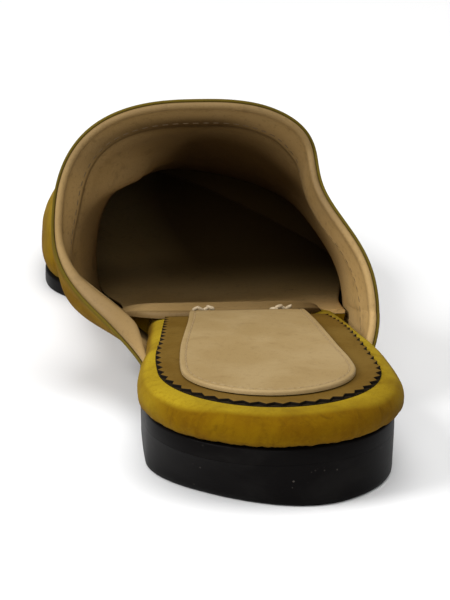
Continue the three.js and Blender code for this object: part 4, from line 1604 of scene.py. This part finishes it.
    def lining_shade(self, edge: Array, around: Array) -> Array:
        """Painted shade on the lining.

        Formula: the table's painted shade at the rim, the face and the depth, one eased into the next with
        the distance from the topline, a painted shadow line behind the tongue's band, and painted shade far
        inside.

        Args:
            edge: distance from the topline at each grid point.
            around: share of the way round the vamp.

        Returns:
            Shares from 0 to 1.
        """
        rim, face, deep, fold, blur = (self.SHADE_TABLE.column(name, around) for name in self.SHADE_TABLE.names[1:])
        near = between(rim, face, smoothstep(edge, *self.FACE_FADE))
        dark, away, width = self.SHADOW
        dark = dark * bell(edge - away, width) * fall(np.abs(around - self.SHADOW_AT), *self.SHADOW_FADE)
        painted_shade = between(near + dark, deep, smoothstep((edge - fold) / blur, 0.0, 1.0))
        inside = self.INSIDE_DARK * smoothstep(edge, *self.INSIDE_FADE)
        return np.clip(np.maximum(painted_shade, inside), 0.0, 1.0)

    def stitches(self, points: Array, inner: Array, edge: Array) -> Surface:
        """Stitches along the lining's band, where the distance from the topline reaches the seam's.

        Args:
            points: the outside grid.
            inner: depth of the lining's face at each grid point.
            edge: distance from the topline at each grid point.

        Returns:
            All stitches.
        """
        normal = self.normals(points)
        face = points - normal * inner[..., None]
        target = self.facing - self.seam
        row = np.maximum(np.argmax(edge > target, axis=0), 1)
        after = (row, np.arange(self.columns))
        before = (row - 1, after[1])
        share = ((target - edge[before]) / np.maximum(edge[after] - edge[before], TINY))[:, None]
        path = between(face[before], face[after], share)[self.STITCHED]
        inwards = -unit(between(normal[before], normal[after], share))[self.STITCHED]
        return self.STITCH.row(path, inwards)

    def build(self, shop: Workshop) -> None:
        """Make the suede, the lining and the stitches of its edge band.

        Args:
            shop: makes the pieces.
        """
        start = self.suede / 2.0
        points = self.outside(*self.sheet_grid(start))
        edge = self.edge_distance(points)
        suede = self.sheet(0.0, np.full(edge.shape, self.suede), points, edge, np.zeros(edge.shape))
        shop.piece("vamp_suede", suede, Finish.SUEDE, "upper")
        along, around = self.sheet_grid(start + self.recess)
        points = self.outside(along, around)
        edge = self.edge_distance(points)
        inner = self.wall + self.facing_thickness * fall(edge - self.facing, *self.facing_fade)
        inner = inner + self.TUCK.press(along, around)
        inner = inner + self.LOOSE.column("swell", around) * fall(edge, *self.LOOSE_FADE)
        outer = self.suede + self.between_layers
        # the lining carries painted shade
        lining = self.sheet(outer, inner, points, edge, self.lining_shade(edge, around))
        shop.piece("vamp_lining", lining, Finish.LINING, "upper")
        shop.piece("vamp_stitches", self.stitches(points, inner, edge), Finish.LINING_THREAD, "upper")


@dataclass
class Studio:
    """Pale floor, soft light and the camera."""

    place: Placement
    eye: tuple[float, float, float] = (-111.1, -855.3, 304.5)  # the camera's place in millimetres
    yaw: float = 6.42  # its turn towards the outer side, in degrees
    pitch: float = 16.379  # its tilt down, in degrees
    level_yaw: float = 3.6  # the turn at which its rows are level, in degrees
    focal_pixels: float = 3912.0  # focal length in pixels of the frame
    frame_height: float = 600.0  # height of the frame in pixels
    floor_half: float = 6.0  # half the floor's side in metres
    floor_points: int = 9  # points along each side
    sky: float = 0.21  # strength of the sky

    SENSOR = 36.0
    CLIP_END = 50.0
    AIM = Vector((0.0, 0.0, 0.03))
    LAMPS = (  # name, place in metres, side in metres, power in watts
        ("key_box", (-1.55, -0.55, 1.35), 1.0, 36.0),
        ("top_box", (0.1, -0.1, 2.2), 1.8, 38.0),
        ("side_box", (1.3, -0.7, 1.6), 0.8, 4.0),
        ("back_box", (-0.25, -1.7, 0.75), 0.7, 12.0),
    )

    @staticmethod
    def put(name: str, data: bpy.types.ID) -> bpy.types.Object:
        """Link a new object to the scene.

        Args:
            name: the object's name.
            data: its mesh, light or camera.

        Returns:
            The object.
        """
        made = bpy.data.objects.new(name, data)
        bpy.context.scene.collection.objects.link(made)
        return made

    def camera(self) -> None:
        """Set the camera by its place, turn and tilt; the sensor's width lies along the long side."""
        yaw, pitch, level = (math.radians(turn) for turn in (self.yaw, self.pitch, self.level_yaw))
        look = Vector((math.sin(yaw) * math.cos(pitch), math.cos(yaw) * math.cos(pitch), -math.sin(pitch)))
        right = Vector((math.cos(level), -math.sin(level), 0.0))
        right = (right - look * look.dot(right)).normalized()
        data = bpy.data.cameras.new("studio_camera")
        data.sensor_width = self.SENSOR
        data.lens = self.SENSOR * self.focal_pixels / self.frame_height
        data.clip_end = self.CLIP_END
        made = self.put("studio_camera", data)
        made.location = self.place.metres(np.array(self.eye)).tolist()
        made.rotation_mode = "QUATERNION"
        made.rotation_quaternion = Matrix((right, right.cross(look), -look)).transposed().to_quaternion()
        bpy.context.scene.camera = made

    def floor(self) -> None:
        """Lay the floor as one grid."""
        side = np.linspace(-self.floor_half, self.floor_half, self.floor_points)
        x, y = np.meshgrid(side, side)
        points = np.stack([x, y, np.zeros_like(x)], axis=-1).reshape(-1, 3)
        faces = grid_faces(self.floor_points, self.floor_points, False)
        data = bpy.data.meshes.new("studio_floor")
        data.from_pydata(points.tolist(), [], faces.tolist())
        data.materials.append(FloorFinish().material())
        made = self.put("studio_floor", data)

    def light(self) -> None:
        """Soft key from the upper left, a broad box overhead, two fills and a pale sky."""
        for name, at, size, power in self.LAMPS:
            data = bpy.data.lights.new(name, "AREA")
            data.size = size
            data.energy = power
            made = self.put(name, data)
            made.location = at
            made.rotation_mode = "QUATERNION"
            made.rotation_quaternion = (self.AIM - Vector(at)).to_track_quat("-Z", "Y")
        world = bpy.data.worlds.new("studio_sky")
        world.use_nodes = True
        sky = world.node_tree.nodes["Background"]
        sky.inputs["Color"].default_value = (1.0, 1.0, 1.0, 1.0)
        sky.inputs["Strength"].default_value = self.sky
        bpy.context.scene.world = world
        bpy.context.scene.view_settings.view_transform = "Standard"

    def build(self) -> None:
        """Set up camera, floor and light."""
        self.camera()
        self.floor()
        self.light()


def main() -> None:
    """Build the pieces in order."""
    logging.basicConfig(level=logging.INFO, format="%(name)s %(message)s")
    place = Placement.from_frame()
    LOG.info("heel at %.4f, %.4f", place.x, place.y)
    Studio(place).build()
    shop = Workshop(place)
    last = Last()
    for part in (Outsole, HeelBlock, Footbed, Insole, Sock, Vamp):
        part(last).build(shop)
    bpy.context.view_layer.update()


if __name__ == "__main__":
    main()
